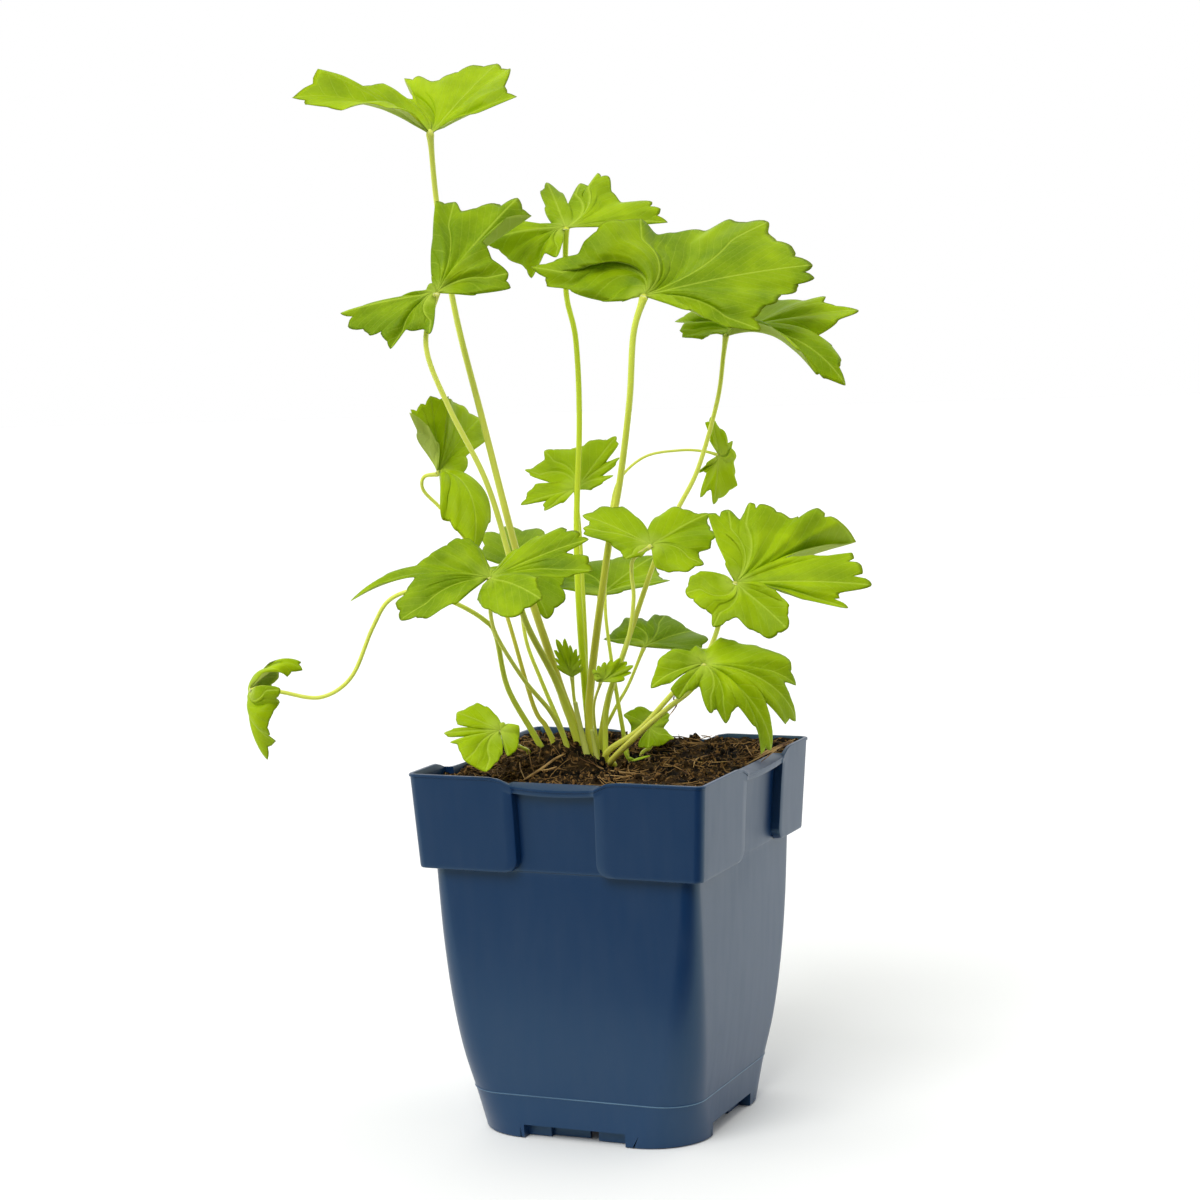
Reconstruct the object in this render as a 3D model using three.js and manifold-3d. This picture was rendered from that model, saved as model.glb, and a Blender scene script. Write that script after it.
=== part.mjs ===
// A young potted delphinium, in millimetres with +Z up: twenty long-stalked, lobed leaves that stand in
// the peat of a square nursery pot. The origin is the middle of the pot's underside, where it stands,
// and X and Y run along the sides of the pot.
import * as THREE from 'three';
import { mergeVertices } from 'three/addons/utils/BufferGeometryUtils.js';
import Module from 'manifold-3d';

const wasm = await Module();
wasm.setup();

// Sizes of the pot
const POT_HEIGHT = 130.5;
const RIM_HALF = 55;
const COLLAR_BOTTOM = 97;
const COLLAR_BOTTOM_HALF = 53;
const WALL = 1.2;
const FLOOR_UNDERSIDE = 5.6;
const FLOOR_TOP = 7;
const FOOT_WALL = 1.4;
const FOOT_RECESS_HEIGHT = 4.8;
const PAD_WIDTH = 20;
const DRAIN_LENGTH = 14;
const DRAIN_WIDTH = 4;
const DRAIN_PLACE = 27;

// Height, half width and corner radius of the pot's body, from the ground up
const BODY = [
  [0, 42.3, 21.5],
  [13.2, 43.1, 15.2],
  [29.2, 45.7, 12.5],
  [48.2, 47.6, 10],
  [71.2, 48.8, 7.5],
  [COLLAR_BOTTOM, 49.3, 5],
];

// The foot's recesses along each side: where each begins and ends, and how deep it is
const FOOT_RECESSES = [
  [-20.2, -11.5, 4.1],
  [-11.5, 2.6, 6.1],
  [2.6, 6.5, 12],
  [6.5, 18.2, 4.1],
];
const OPEN_RECESS = 2;

// The recessed middle panel of each side of the collar, as shares of the side's width, and how the rim
// falls towards it over a short run, more on the outer edge of its lip than on the inner one
const PANELS = [
  [0.36, 0.64],
  [0.4, 0.74],
  [0.36, 0.64],
  [0.4, 0.74],
];
const PANEL_DEPTH = 3.2;
const PANEL_SLOPE = 0.5;
const LIP_HEIGHT = 2.6;
const LIP_FALL = { edge: 2.6, middle: 3.4 };
const INNER_FALL = { edge: 1.9, middle: 1.9 };
const FALL_RUN = 7;

// Sizes of the peat
const SOIL_BOTTOM = 7.5;
const SOIL_LEVEL = 126.5;
const SOIL_GAP = 0.5;
const REAR_RISE = 1.8;
const CORNER_DIP = { x: -72, y: -29.3, depth: 4.5, spread: 14 };
const MOUND = { x: -18, y: -1, height: 9.5, spread: 10 };

// Sizes of the plant
const PLANT_TURN = THREE.MathUtils.degToRad(22.9);
const CROWN_HEIGHT = 125.2;
const BLADE = 0.7;
const STALK_SIDES = 6;
const HOLE_GAP = 0.5;
const SMALL_LEAF = 30;

// Paints, as the photograph shows them
const BLUE = new THREE.MeshStandardMaterial({ color: 0x2a4268, roughness: 0.38, metalness: 0 });
const PEAT = new THREE.MeshStandardMaterial({ color: 0x2c2110, roughness: 1, metalness: 0 });
const GREEN = new THREE.MeshStandardMaterial({ color: 0x8aad0c, roughness: 0.55, metalness: 0 });
const PALE = new THREE.MeshStandardMaterial({ color: 0xa4ad45, roughness: 0.6, metalness: 0 });

// A closed mesh from points and triangles, and its solid
function closedMesh(points, triangles) {
  const geometry = new THREE.BufferGeometry();
  geometry.setAttribute('position', new THREE.Float32BufferAttribute(points.flat(), 3));
  geometry.setIndex(triangles.flat());
  return geometry;
}

function solid(geometry) {
  const bare = geometry.clone();
  bare.deleteAttribute('normal');
  bare.deleteAttribute('uv');
  const merged = mergeVertices(bare, 1e-4);
  return new wasm.Manifold(new wasm.Mesh({
    numProp: 3,
    vertProperties: new Float32Array(merged.attributes.position.array),
    triVerts: new Uint32Array(merged.index.array),
  }));
}

function geometryOf(body) {
  const mesh = body.getMesh();
  const geometry = new THREE.BufferGeometry();
  geometry.setAttribute('position', new THREE.BufferAttribute(new Float32Array(mesh.vertProperties), 3));
  geometry.setIndex(new THREE.BufferAttribute(new Uint32Array(mesh.triVerts), 1));
  return geometry;
}

// Skin between rings of equally many points, listed from the outside's start to the other end,
// with a flat fan over the first and the last ring
function loft(rings) {
  const count = rings[0].length;
  const points = rings.flat();
  const triangles = [];
  for (let r = 0; r < rings.length - 1; r += 1) {
    for (let i = 0; i < count; i += 1) {
      const a = r * count + i;
      const b = r * count + ((i + 1) % count);
      const c = b + count;
      const d = a + count;
      triangles.push([a, b, c], [a, c, d]);
    }
  }
  const middle = (ring) => [0, 1, 2].map((k) => ring.reduce((sum, p) => sum + p[k], 0) / ring.length);
  const last = (rings.length - 1) * count;
  const start = points.push(middle(rings[0])) - 1;
  const end = points.push(middle(rings[rings.length - 1])) - 1;
  for (let i = 0; i < count; i += 1) {
    const next = (i + 1) % count;
    triangles.push([start, next, i], [end, last + i, last + next]);
  }
  return closedMesh(points, triangles);
}

// One ring around the pot: a square with round corners. Its four middle panels may be set in, and its
// height may fall towards them. inset is how far the ring lies inside the pot's outer face, and across is
// the half width that the panels are shares of.
function squareRing(z, half, radius, options = {}) {
  const { setIn = 0, fall = { edge: 0, middle: 0 }, inset = 0, across = half + inset } = options;
  const ring = [];
  const arcSteps = 3;
  const straight = radius - half + 0.3;
  for (let side = 0; side < 4; side += 1) {
    const turn = side * Math.PI / 2;
    const put = (x, y, height) => ring.push([
      x * Math.cos(turn) - y * Math.sin(turn),
      x * Math.sin(turn) + y * Math.cos(turn),
      height,
    ]);
    // the corner before this side, then the side itself, from its left end to its right end
    for (let i = 0; i <= arcSteps; i += 1) {
      const a = Math.PI + (Math.PI / 2) * (i / arcSteps);
      put(-half + radius + radius * Math.cos(a), -half + radius + radius * Math.sin(a), z);
    }
    const [from, to] = PANELS[side];
    const xFrom = (2 * from - 1) * across - inset;
    const xTo = (2 * to - 1) * across + inset;
    put(Math.max(xFrom - FALL_RUN, straight), -half, z);
    put(xFrom, -half, z - fall.edge);
    put(xFrom + PANEL_SLOPE, -half + setIn, z - fall.edge);
    put((xFrom + xTo) / 2, -half + setIn, z - fall.middle);
    put(xTo - PANEL_SLOPE, -half + setIn, z - fall.edge);
    put(xTo, -half, z - fall.edge);
    put(Math.min(xTo + FALL_RUN, -straight), -half, z);
  }
  return ring;
}

// The half width and corner radius of the body at a height
function bodyAt(z) {
  const i = Math.max(0, BODY.findIndex((row) => row[0] > z) - 1);
  const [low, high] = z >= COLLAR_BOTTOM ? [BODY.at(-2), BODY.at(-1)] : [BODY[i], BODY[i + 1]];
  const t = (z - low[0]) / (high[0] - low[0]);
  return [low[1] + t * (high[1] - low[1]), low[2] + t * (high[2] - low[2])];
}

// A ring of the collar, made smaller by an inset
function collarRing(z, inset, radius, setIn, fall) {
  const t = (z - COLLAR_BOTTOM) / (POT_HEIGHT - COLLAR_BOTTOM);
  const half = COLLAR_BOTTOM_HALF + t * (RIM_HALF - COLLAR_BOTTOM_HALF);
  return squareRing(z, half - inset, radius, { setIn, fall, inset });
}

// The inside of the pot, made smaller by a gap, up to a height
function innerRings(bottom, top, gap) {
  const inset = WALL + gap;
  const rings = [];
  for (const z of [bottom, 29.2, 71.2]) {
    const [half, r] = bodyAt(z);
    rings.push(squareRing(z, half - inset, r - inset));
  }
  const ledge = COLLAR_BOTTOM + WALL + gap;
  const [half, r] = bodyAt(ledge);
  rings.push(squareRing(ledge, half - inset, r - inset, { inset, across: COLLAR_BOTTOM_HALF }));
  for (const z of [ledge + 0.4, top]) rings.push(collarRing(z, inset, 1.6, PANEL_DEPTH));
  return rings;
}

function box(x, y, z, atX, atY, atZ) {
  return new THREE.BoxGeometry(x, y, z).translate(atX, atY, atZ);
}

// A box under one side of the pot, from its outside to a depth, where z runs from low to high
function sideBox(side, [from, to, depth], wall, low, high) {
  const outside = 50;
  const inside = BODY[0][1] - depth - wall;
  const width = to - from + 2 * wall;
  const middle = -(outside + inside) / 2;
  const body = box(width, outside - inside, high - low, (from + to) / 2, middle, (low + high) / 2);
  return solid(body.rotateZ(side * Math.PI / 2));
}

// The pot: thin walls, a stepped-out collar with a recessed panel on each side, a lip that bridges the
// panels and sags over them, and a raised floor with four slots, on a foot wall with recesses and a pad
function makePot() {
  const outside = BODY.map(([z, half, r]) => squareRing(z, half, r));
  const lip = POT_HEIGHT - LIP_HEIGHT;
  outside.push(
    collarRing(COLLAR_BOTTOM + 0.3, 0, 3, PANEL_DEPTH),
    collarRing(lip - 7, 0, 3, PANEL_DEPTH),
    collarRing(lip - 1, 0, 3, PANEL_DEPTH, LIP_FALL),
    collarRing(lip, 0, 3, 0.4, LIP_FALL),
    collarRing(POT_HEIGHT, 0, 3, 0.2, LIP_FALL),
    collarRing(POT_HEIGHT, WALL + 1, 3, PANEL_DEPTH, INNER_FALL),
  );
  let pot = solid(loft(outside));
  pot = pot.subtract(solid(loft(innerRings(FLOOR_TOP, POT_HEIGHT + 3, 0))));
  const [half, radius] = [BODY[0][1] - FOOT_WALL, BODY[0][2] - FOOT_WALL];
  let hollow = solid(loft([-1, FLOOR_UNDERSIDE].map((z) => squareRing(z, half, radius))));
  hollow = hollow.subtract(solid(box(PAD_WIDTH, PAD_WIDTH, 20, 0, 0, 0)));
  const cuts = [];
  for (let side = 0; side < 4; side += 1) {
    FOOT_RECESSES.forEach((recess, i) => {
      cuts.push(sideBox(side, recess, 0, -2, FOOT_RECESS_HEIGHT));
      if (i !== OPEN_RECESS) hollow = hollow.subtract(sideBox(side, recess, FOOT_WALL, -3, 20));
    });
    const slot = box(DRAIN_LENGTH, DRAIN_WIDTH, 8, 0, -DRAIN_PLACE, FLOOR_UNDERSIDE);
    cuts.push(solid(slot.rotateZ(side * Math.PI / 2)));
  }
  pot = pot.subtract(hollow);
  for (const cut of cuts) pot = pot.subtract(cut);
  return geometryOf(pot);
}

// Height of the peat at a place in the pot's own frame: level, rising to the rear, sunk at one corner,
// heaped around the plant's crown, and lumpy
function soilHeight(x, y) {
  const px = x * Math.cos(PLANT_TURN) + y * Math.sin(PLANT_TURN);
  const py = -x * Math.sin(PLANT_TURN) + y * Math.cos(PLANT_TURN);
  const hump = (place) => Math.exp(-((px - place.x) ** 2 + (py - place.y) ** 2) / (2 * place.spread ** 2));
  const lumps = 0.6 * Math.sin(0.31 * x + 1.1) * Math.cos(0.27 * y) + 0.4 * Math.sin(0.17 * x - 0.43 * y);
  return SOIL_LEVEL + REAR_RISE * THREE.MathUtils.smoothstep(py, -20, 45) + lumps
    - CORNER_DIP.depth * hump(CORNER_DIP) + MOUND.height * hump(MOUND);
}

// The peat: it fills the pot to a lumpy top, mounded around the foot of the plant
function makeSoil(stalkHoles) {
  const rings = innerRings(SOIL_BOTTOM, SOIL_LEVEL - 6, SOIL_GAP);
  const inset = WALL + SOIL_GAP;
  const rest = (ring) => ring.map(([x, y]) => [x, y, soilHeight(x, y)]);
  rings.push(rest(collarRing(SOIL_LEVEL, inset, 1.6, PANEL_DEPTH)));
  const inner = collarRing(SOIL_LEVEL, inset + 5, 4);
  const centre = [-9, -3];
  for (const share of [1, 0.74, 0.5, 0.3, 0.15]) {
    rings.push(rest(inner.map((point) => centre.map((c, k) => c + share * (point[k] - c)))));
  }
  let soil = solid(loft(rings));
  for (const hole of stalkHoles) soil = soil.subtract(hole);
  return geometryOf(soil);
}

// A round stem along a curve, from radius to radius; its last tenth may widen by a flare
function stem(points, fromRadius, toRadius, flare = 0) {
  const path = new THREE.CatmullRomCurve3(points.map((p) => new THREE.Vector3(...p)), false, 'catmullrom', 0.5);
  const steps = 2 * (points.length - 1) + (flare > 0 ? 1 : 0);
  const side = new THREE.Vector3(1, 0, 0);
  const rings = [];
  for (let i = 0; i <= steps; i += 1) {
    const t = i / steps;
    const centre = path.getPoint(t);
    const along = path.getTangent(t);
    side.addScaledVector(along, -side.dot(along)).normalize();
    const other = new THREE.Vector3().crossVectors(along, side);
    const radius = fromRadius + t * (toRadius - fromRadius) + flare * Math.max(0, (t - 0.9) / 0.1) ** 2;
    const ring = [];
    for (let k = 0; k < STALK_SIDES; k += 1) {
      const a = (2 * Math.PI * k) / STALK_SIDES;
      const p = centre.clone();
      p.addScaledVector(side, radius * Math.cos(a));
      p.addScaledVector(other, radius * Math.sin(a));
      ring.push(p.toArray());
    }
    rings.push(ring);
  }
  return loft(rings);
}

// The hole for a stem: a little wider than it, and a little deeper
function holeFor(points, girth) {
  const [[x, y, z], ...rest] = points;
  return stem([[x, y, z - HOLE_GAP], ...rest], girth[0] + HOLE_GAP, girth[1] + HOLE_GAP);
}

// How far a bump of the leaf's outline reaches, from 1 at its middle to 0 at its side
const bump = (x) => Math.max(0, 1 - Math.abs(x) ** 2.4) ** (1 / 2.4);

// The leaf's spokes, by turn around the stalk's tip, each with its share of the full reach there
function spokes(leaf) {
  const rows = leaf.lobes;
  const list = [[rows[0][0] - leaf.ends, 0.1], [rows[0][0] - 0.6 * leaf.ends, 0.1 + 0.9 * bump(0.6)]];
  for (let i = 0; i < rows.length - 1; i += 1) {
    const [turn, , notch] = rows[i];
    const span = rows[i + 1][0] - turn;
    for (const x of notch < 0.8 ? [0, 0.3, 0.5, 0.7] : notch < 0.96 ? [0, 0.5] : [0]) {
      const share = notch + (1 - notch) * bump(x < 0.5 ? 2 * x : 2 - 2 * x);
      list.push([turn + span * x, share]);
    }
  }
  const last = rows.at(-1)[0];
  list.push([last, 1], [last + 0.6 * leaf.ends, 0.1 + 0.9 * bump(0.6)], [last + leaf.ends, 0.1]);
  return list;
}

// A point of the leaf's middle surface: each spoke leaves the stalk's tip at its rise and bends down by its
// droop, as part of a circle, and the lobes' reach, rise and droop run smoothly into each other
function surfacePoint(leaf, turn, share) {
  const rows = leaf.lobes;
  const held = THREE.MathUtils.clamp(turn, rows[0][0], rows.at(-1)[0]);
  let i = rows.findIndex((row) => row[0] > held) - 1;
  if (i < 0) i = rows.length - 2;
  const t = THREE.MathUtils.smoothstep(held, rows[i][0], rows[i + 1][0]);
  const mix = (k, usual) => {
    const low = rows[i][k] ?? usual;
    const high = rows[i + 1][k] ?? usual;
    return low + t * (high - low);
  };
  const reach = mix(1);
  const start = THREE.MathUtils.degToRad(mix(3, leaf.rise));
  const bend = THREE.MathUtils.degToRad(mix(4, leaf.droop)) || 1e-3;
  const end = start - bend * share;
  const wave = 0.8 * Math.sin(THREE.MathUtils.degToRad(7 * turn)) * share ** 2;
  const out = reach * (Math.sin(start) - Math.sin(end)) / bend - wave * Math.sin(end);
  const up = reach * (Math.cos(end) - Math.cos(start)) / bend + wave * Math.cos(end);
  const a = THREE.MathUtils.degToRad(turn);
  return new THREE.Vector3(...leaf.tip)
    .addScaledVector(leaf.axisX, out * Math.cos(a))
    .addScaledVector(leaf.axisY, out * Math.sin(a))
    .addScaledVector(leaf.normal, up);
}

function surfaceNormal(leaf, turn, share) {
  const outward = surfacePoint(leaf, turn, share + 0.02).sub(surfacePoint(leaf, turn, share - 0.02));
  const around = surfacePoint(leaf, turn + 1, share).sub(surfacePoint(leaf, turn - 1, share));
  return outward.cross(around).normalize();
}

// The blade: rings of points around the stalk's tip, on both faces, closed along the outline
function makeBlade(leaf) {
  const columns = spokes(leaf);
  const widest = Math.max(...leaf.lobes.map((row) => row[1]));
  const ringShares = widest > SMALL_LEAF ? [0.3, 0.65, 1] : [0.5, 1];
  const points = [];
  const triangles = [];
  const faces = [];
  for (const side of [0.5, -0.5]) {
    const tip = new THREE.Vector3(...leaf.tip).addScaledVector(leaf.normal, side * BLADE);
    const centre = points.push(tip.toArray()) - 1;
    const grid = ringShares.map((ringShare) => columns.map(([turn, share]) => {
      const s = ringShare * share;
      const p = surfacePoint(leaf, turn, s);
      p.addScaledVector(surfaceNormal(leaf, turn, Math.max(s, 0.05)), side * BLADE);
      return points.push(p.toArray()) - 1;
    }));
    faces.push({ centre, grid });
  }
  const [top, under] = faces;
  for (const { centre, grid } of faces) {
    const add = grid === top.grid ? (a, b, c) => triangles.push([a, b, c]) : (a, b, c) => triangles.push([a, c, b]);
    for (let j = 0; j < columns.length - 1; j += 1) {
      add(centre, grid[0][j], grid[0][j + 1]);
      for (let r = 0; r < grid.length - 1; r += 1) {
        add(grid[r][j], grid[r + 1][j], grid[r + 1][j + 1]);
        add(grid[r][j], grid[r + 1][j + 1], grid[r][j + 1]);
      }
    }
  }
  // the rim, from the centre out along the first spoke, around the outline and back along the last
  const edge = ({ centre, grid }) => [
    centre,
    ...grid.map((ring) => ring[0]),
    ...grid.at(-1).slice(1, -1),
    ...grid.map((ring) => ring.at(-1)).reverse(),
  ];
  const upper = edge(top);
  const lower = edge(under);
  for (let i = 0; i < upper.length; i += 1) {
    const n = (i + 1) % upper.length;
    triangles.push([upper[i], lower[i], lower[n]], [upper[i], lower[n], upper[n]]);
  }
  return closedMesh(points, triangles);
}

// A leaf's own axes: its normal, and the direction of turn 0, which is right, or up on an upright leaf
function prepare(leaf) {
  const normal = new THREE.Vector3(...leaf.face).normalize();
  const axisX = Math.abs(normal.z) > 0.5 ? new THREE.Vector3(1, 0, 0) : new THREE.Vector3(0, 0, 1);
  axisX.addScaledVector(normal, -axisX.dot(normal)).normalize();
  const axisY = new THREE.Vector3().crossVectors(normal, axisX);
  return { rise: 8, droop: 15, flare: 0, ends: 12, ...leaf, tip: leaf.stalk.at(-1), normal, axisX, axisY };
}

// The leaves, in the plant's own frame: X to the right, Y away from the front, Z up from the crown's foot.
// stalk: points from inside the peat to the tip; girth: its radius at both ends; flare: how much wider it
// ends; face: the blade's normal; lobes: turn and reach of each bump of the outline, then how much of the
// reach the notch after it leaves, and its rise and droop where they aren't the leaf's own.
const LEAVES = [
  {
    name: 'leaf_top_left',
    stalk: [[-8.5, 3, -12], [-8.5, 3, 2], [-16.5, 4, 23], [-22, 4, 42], [-32.5, 6, 78], [-43.5, 10, 126],
      [-52, 16, 163], [-57.5, 19.5, 201], [-59, 15, 227]],
    girth: [1.6, 0.95],
    flare: 1.2,
    ends: 8,
    face: [0, 0.05, 1],
    lobes: [[-12, 19, 1, 33, 20], [-3, 34, 0.95, 32, 20], [8, 32, 1, 40, 20], [30, 41, 0.97, 40, 5],
      [42, 42, 0.97, 44, 5], [57, 39, 0.95, 46, 5], [76, 33, 0.97, 48, 5], [90, 31, 1, 48, 5],
      [101, 35, 0.95, 46, 5], [112, 36, 1, 42, 5], [116, 23, 1, 48, 5], [121, 19, 1, 48, 5],
      [134, 23, 1, 55, 25], [145, 29, 0.97, 58, 25], [162, 34, 1, 43, 20], [169, 39, 1, 42, 15],
      [174, 47, 0.93, 39, 15], [181, 52, 0.95, 39, 45], [189, 47, 0.97, 40, 50],
      [206, 36, 0.97, 51, 75], [222, 31, 0.97, 47, 60], [235, 26, 0.95, 38, 40]],
  },
  {
    name: 'leaf_upper_left',
    stalk: [[-10.5, -2.5, -12], [-10.5, -2.5, 2], [-19, -4, 31], [-30, -10, 56], [-35, -12.5, 80],
      [-42, -15.5, 106], [-54, -17, 132], [-61, -17.5, 153], [-57, -15, 171]],
    girth: [1.1, 0.9],
    flare: 2,
    ends: 7,
    face: [-0.1, -0.65, 0.75],
    lobes: [[-5, 14, 1, 4], [1, 26, 0.95, 4], [12, 26, 1], [26, 23, 1, 18], [43, 25, 1, 26], [47, 38, 1, 20],
      [49, 51, 0.97, 6], [56, 52, 0.93, 11], [64, 47, 0.97, 10], [76, 39, 1, 14], [82, 45, 0.97, 13],
      [90, 44, 1, 16], [93, 30, 1, 10], [97, 12, 1], [104, 5, 1], [156, 5, 1], [163, 14, 1, -8],
      [168, 29, 1, -8], [172, 37, 0.9, -7], [180, 35, 0.93, -8, 20], [196, 28, 0.9, -9, 20],
      [208, 24, 0.97, -10, 20], [220, 25, 0.9, -16, 20], [230, 17, 1, -5, 20], [250, 15, 0.97, -4, 20],
      [262, 18, 0.9, 0, 20]],
  },
  {
    name: 'leaf_upper_middle',
    stalk: [[-7.5, 7.5, -12], [-7.5, 7.5, 2], [-9.5, 8, 28], [-11, 12, 60], [-11, 16, 88], [-9, 20, 124],
      [-9.5, 25, 153], [-12.5, 27.5, 170], [-12, 24.5, 193]],
    girth: [1.15, 1],
    ends: 8,
    face: [0, -0.5, 0.87],
    lobes: [[-2, 28, 1, 10], [0, 37, 0.93, 12, 20], [7, 35, 0.93, 14], [15, 33, 0.97, 15],
      [31, 24, 1, 14, 10], [45, 25, 1, 20], [57, 30, 0.95, 22], [65, 30, 1, 22], [70, 26, 1, 15],
      [78, 27, 1, 17], [87, 17, 1, 11], [93, 23, 1, 15], [104, 28, 0.95, 17], [112, 24, 1, 15],
      [119, 15, 1, 12], [133, 7, 1, 0], [156, 14, 1, 0], [164, 23, 1, 6], [172, 29, 0.97, 4, 20],
      [180, 30, 0.95, 6, 30], [192, 24, 1, -5, 30], [213, 21, 0.97, -7, 40], [229, 23, 0.9, -12, 40],
      [240, 15, 1, 5, 30], [255, 15, 0.9, 0, 30]],
  },
  {
    name: 'leaf_upper_centre',
    stalk: [[-7.5, -4, -12], [-7.5, -4, 2], [-8, -2.5, 26], [-0.5, -1.5, 76], [5, -3.5, 104], [9, -10, 132],
      [11, -9.5, 155], [15, -7.5, 168]],
    girth: [1.3, 1.1],
    flare: 1,
    ends: 7,
    face: [0.05, -0.7, 0.7],
    lobes: [[-39, 21, 1, 25, 20], [-34, 26, 1, 16, 20], [-30, 34, 1, 10], [-24, 44, 0.93, 10],
      [-15, 42, 0.97, 14], [-7, 47, 0.95, 13], [3, 54, 0.95], [8, 61, 0.95], [14, 62, 0.95],
      [25, 59, 0.97], [35, 56, 1], [40, 60, 0.97], [52, 54, 1, 4], [60, 46, 1, -1], [72, 37, 1, 2],
      [79, 32, 1, 7], [91, 34, 0.97, 18], [115, 32, 0.97, 26, 20], [134, 30, 1, 24, 20],
      [143, 29, 1, 16], [153, 35, 0.97, 10], [160, 42, 0.93, 9, 20], [167, 35, 0.97, 6, 25],
      [171, 26, 1, 8, 25], [178, 15, 1, 0, 25], [187, 8, 1, 5, 25]],
  },
  {
    name: 'leaf_upper_right',
    stalk: [[-5.5, 5, -12], [-5.5, 5, 2], [-1.5, 5, 24], [4, 8, 39], [17.5, 14, 75], [25.5, 18, 91],
      [33.5, 19.5, 106], [41, 21.5, 130], [43.5, 21, 146], [44.5, 20, 153]],
    girth: [0.95, 0.8],
    flare: 0.8,
    ends: 5,
    face: [0, -0.35, 0.93],
    lobes: [[-64, 14, 1, 50, 20], [-58, 30, 1, 48, 45], [-54, 43, 1, 42, 65], [-43, 45, 0.97, 31, 75],
      [-38, 46, 1, 30, 80], [-33, 54, 0.95, 31, 85], [-27, 48, 1, 34, 75], [-21, 42, 1, 34, 65],
      [-14, 34, 1, 29, 50], [-6, 41, 1, 24, 30], [6, 49, 0.95, 17, 20], [14, 38, 1, 19],
      [19, 40, 0.97, 20], [35, 35, 0.97, 15, 10], [59, 31, 0.93, 14], [92, 25, 0.93, 19],
      [120, 24, 0.97, 9], [131, 27, 0.93, 7, 20], [145, 18, 1, 16, 20], [156, 18, 0.95, 9, 20],
      [168, 16, 0.97, 5, 25], [183, 9, 1, 7, 25], [194, 6, 1, 30, 25]],
  },
  {
    name: 'leaf_nodding_left',
    stalk: [[-15, 4, -12], [-15, 4, 6], [-23.5, 6, 14], [-28.5, 8, 23], [-36.5, 12, 53], [-42.5, 14, 71],
      [-50.5, 15, 82], [-59.5, 14, 94], [-65.5, 12, 101], [-65, 9, 106], [-60, 8, 107]],
    girth: [0.75, 0.6],
    flare: 0.5,
    ends: 10,
    face: [0.25, 0.05, 0.95],
    lobes: [[-72, 31, 0.95, 17, 100], [-63, 37, 0.97, 20, 105], [-52, 46, 0.95, 18, 110],
      [-33, 34, 0.97, 30, 110], [-23, 25, 1, 34, 100], [-8, 13, 1, 25, 80], [10, 8, 1, 30, 50],
      [48, 15, 1, 55, 40], [60, 31, 0.97, 50, 40], [70, 36, 0.95, 54, 30], [84, 33, 0.97, 63, 20],
      [107, 28, 0.93, 80, 10], [170, 28, 0.95, 86, 5], [185, 28, 0.93, 75, 5], [198, 26, 0.93, 66, 5],
      [209, 26, 0.93, 53, 5], [218, 26, 1, 48, 5], [235, 20, 1, 57, 5], [251, 13, 1, 63, 5]],
  },
  {
    name: 'leaf_small_middle',
    stalk: [[-7.5, 10.5, -12], [-7.5, 10.5, 2], [-9, 12.5, 27], [-9, 15.5, 45], [-9.5, 19.5, 69],
      [-10, 23, 84], [-11, 22, 99]],
    girth: [0.8, 0.65],
    ends: 6,
    face: [0, -0.75, 0.65],
    lobes: [[0, 6, 1], [12, 10, 0.95], [23, 15, 0.93], [33, 12, 1], [38, 19, 0.97], [42, 22, 0.95],
      [48, 17, 1], [52, 26, 0.97], [57, 28, 0.95], [66, 24, 1], [75, 23, 0.95], [86, 20, 0.97],
      [105, 19, 0.97], [122, 21, 1], [129, 18, 1], [143, 19, 0.97], [152, 21, 0.95], [158, 18, 1],
      [163, 10, 1], [172, 15, 0.97], [184, 18, 0.95], [196, 21, 0.95], [203, 12, 1], [212, 14, 0.97],
      [220, 15, 0.95], [229, 8, 1]],
  },
  {
    name: 'leaf_hanging_right',
    stalk: [[5, 8, -12], [5, 8, 2], [2, 9, 24], [0, 13.5, 39], [-1.5, 18, 56], [-0.5, 23, 76], [1.5, 26, 91],
      [5, 28, 102], [14.5, 28, 110], [27, 27, 112], [35.5, 26.5, 111.5], [41, 25.5, 110]],
    girth: [0.6, 0.45],
    ends: 8,
    face: [0.5, -0.85, 0.05],
    lobes: [[-240, 6, 1, 0, 20], [-226, 10, 0.9, -15, 20], [-214, 8, 1, 0, 20], [-207, 17, 0.93, 5, 20],
      [-197, 13, 1, 5, 20], [-188, 18, 0.93, 5, 20], [-172, 16, 0.95, 5, 20], [-146, 14, 0.93, 5, 20],
      [-138, 10, 1, 5, 20], [-105, 8, 0.97, 5, 20], [-75, 7, 1, 5, 20], [-58, 9, 0.95, 5, 20],
      [-45, 6, 1, 5, 20], [-17, 10, 0.95, 5, 20], [8, 14, 0.93, 5, 20], [22, 13, 0.93, 8, 20],
      [32, 7, 1, 20, 20]],
  },
  {
    name: 'leaf_mid_centre',
    stalk: [[-3, -4, -12], [-3, -4, 2], [-1.5, -7.5, 26], [6, -17.5, 48], [8.5, -19, 63], [8, -20.5, 72],
      [9, -24.5, 78], [15, -20, 81.5]],
    girth: [0.8, 0.65],
    ends: 8,
    face: [0.05, -0.6, 0.8],
    lobes: [[-80, 12, 0.97, 5], [-60, 14, 0.97, 5], [-44, 18, 0.95, 5], [-24, 20, 0.95, 5], [-6, 17, 1, 5],
      [1, 21, 0.95, 5], [16, 24, 0.95, 5], [33, 25, 0.97, 5], [41, 28, 0.95], [50, 24, 0.97],
      [65, 22, 0.95], [80, 16, 1], [100, 8, 1], [107, 15, 1], [117, 22, 0.95], [131, 27, 0.97],
      [145, 29, 0.93], [154, 24, 1], [160, 25, 0.97], [168, 24, 0.95], [177, 14, 1], [193, 11, 0.97],
      [219, 12, 0.95], [233, 7, 1]],
  },
  {
    name: 'leaf_mid_right',
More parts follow.
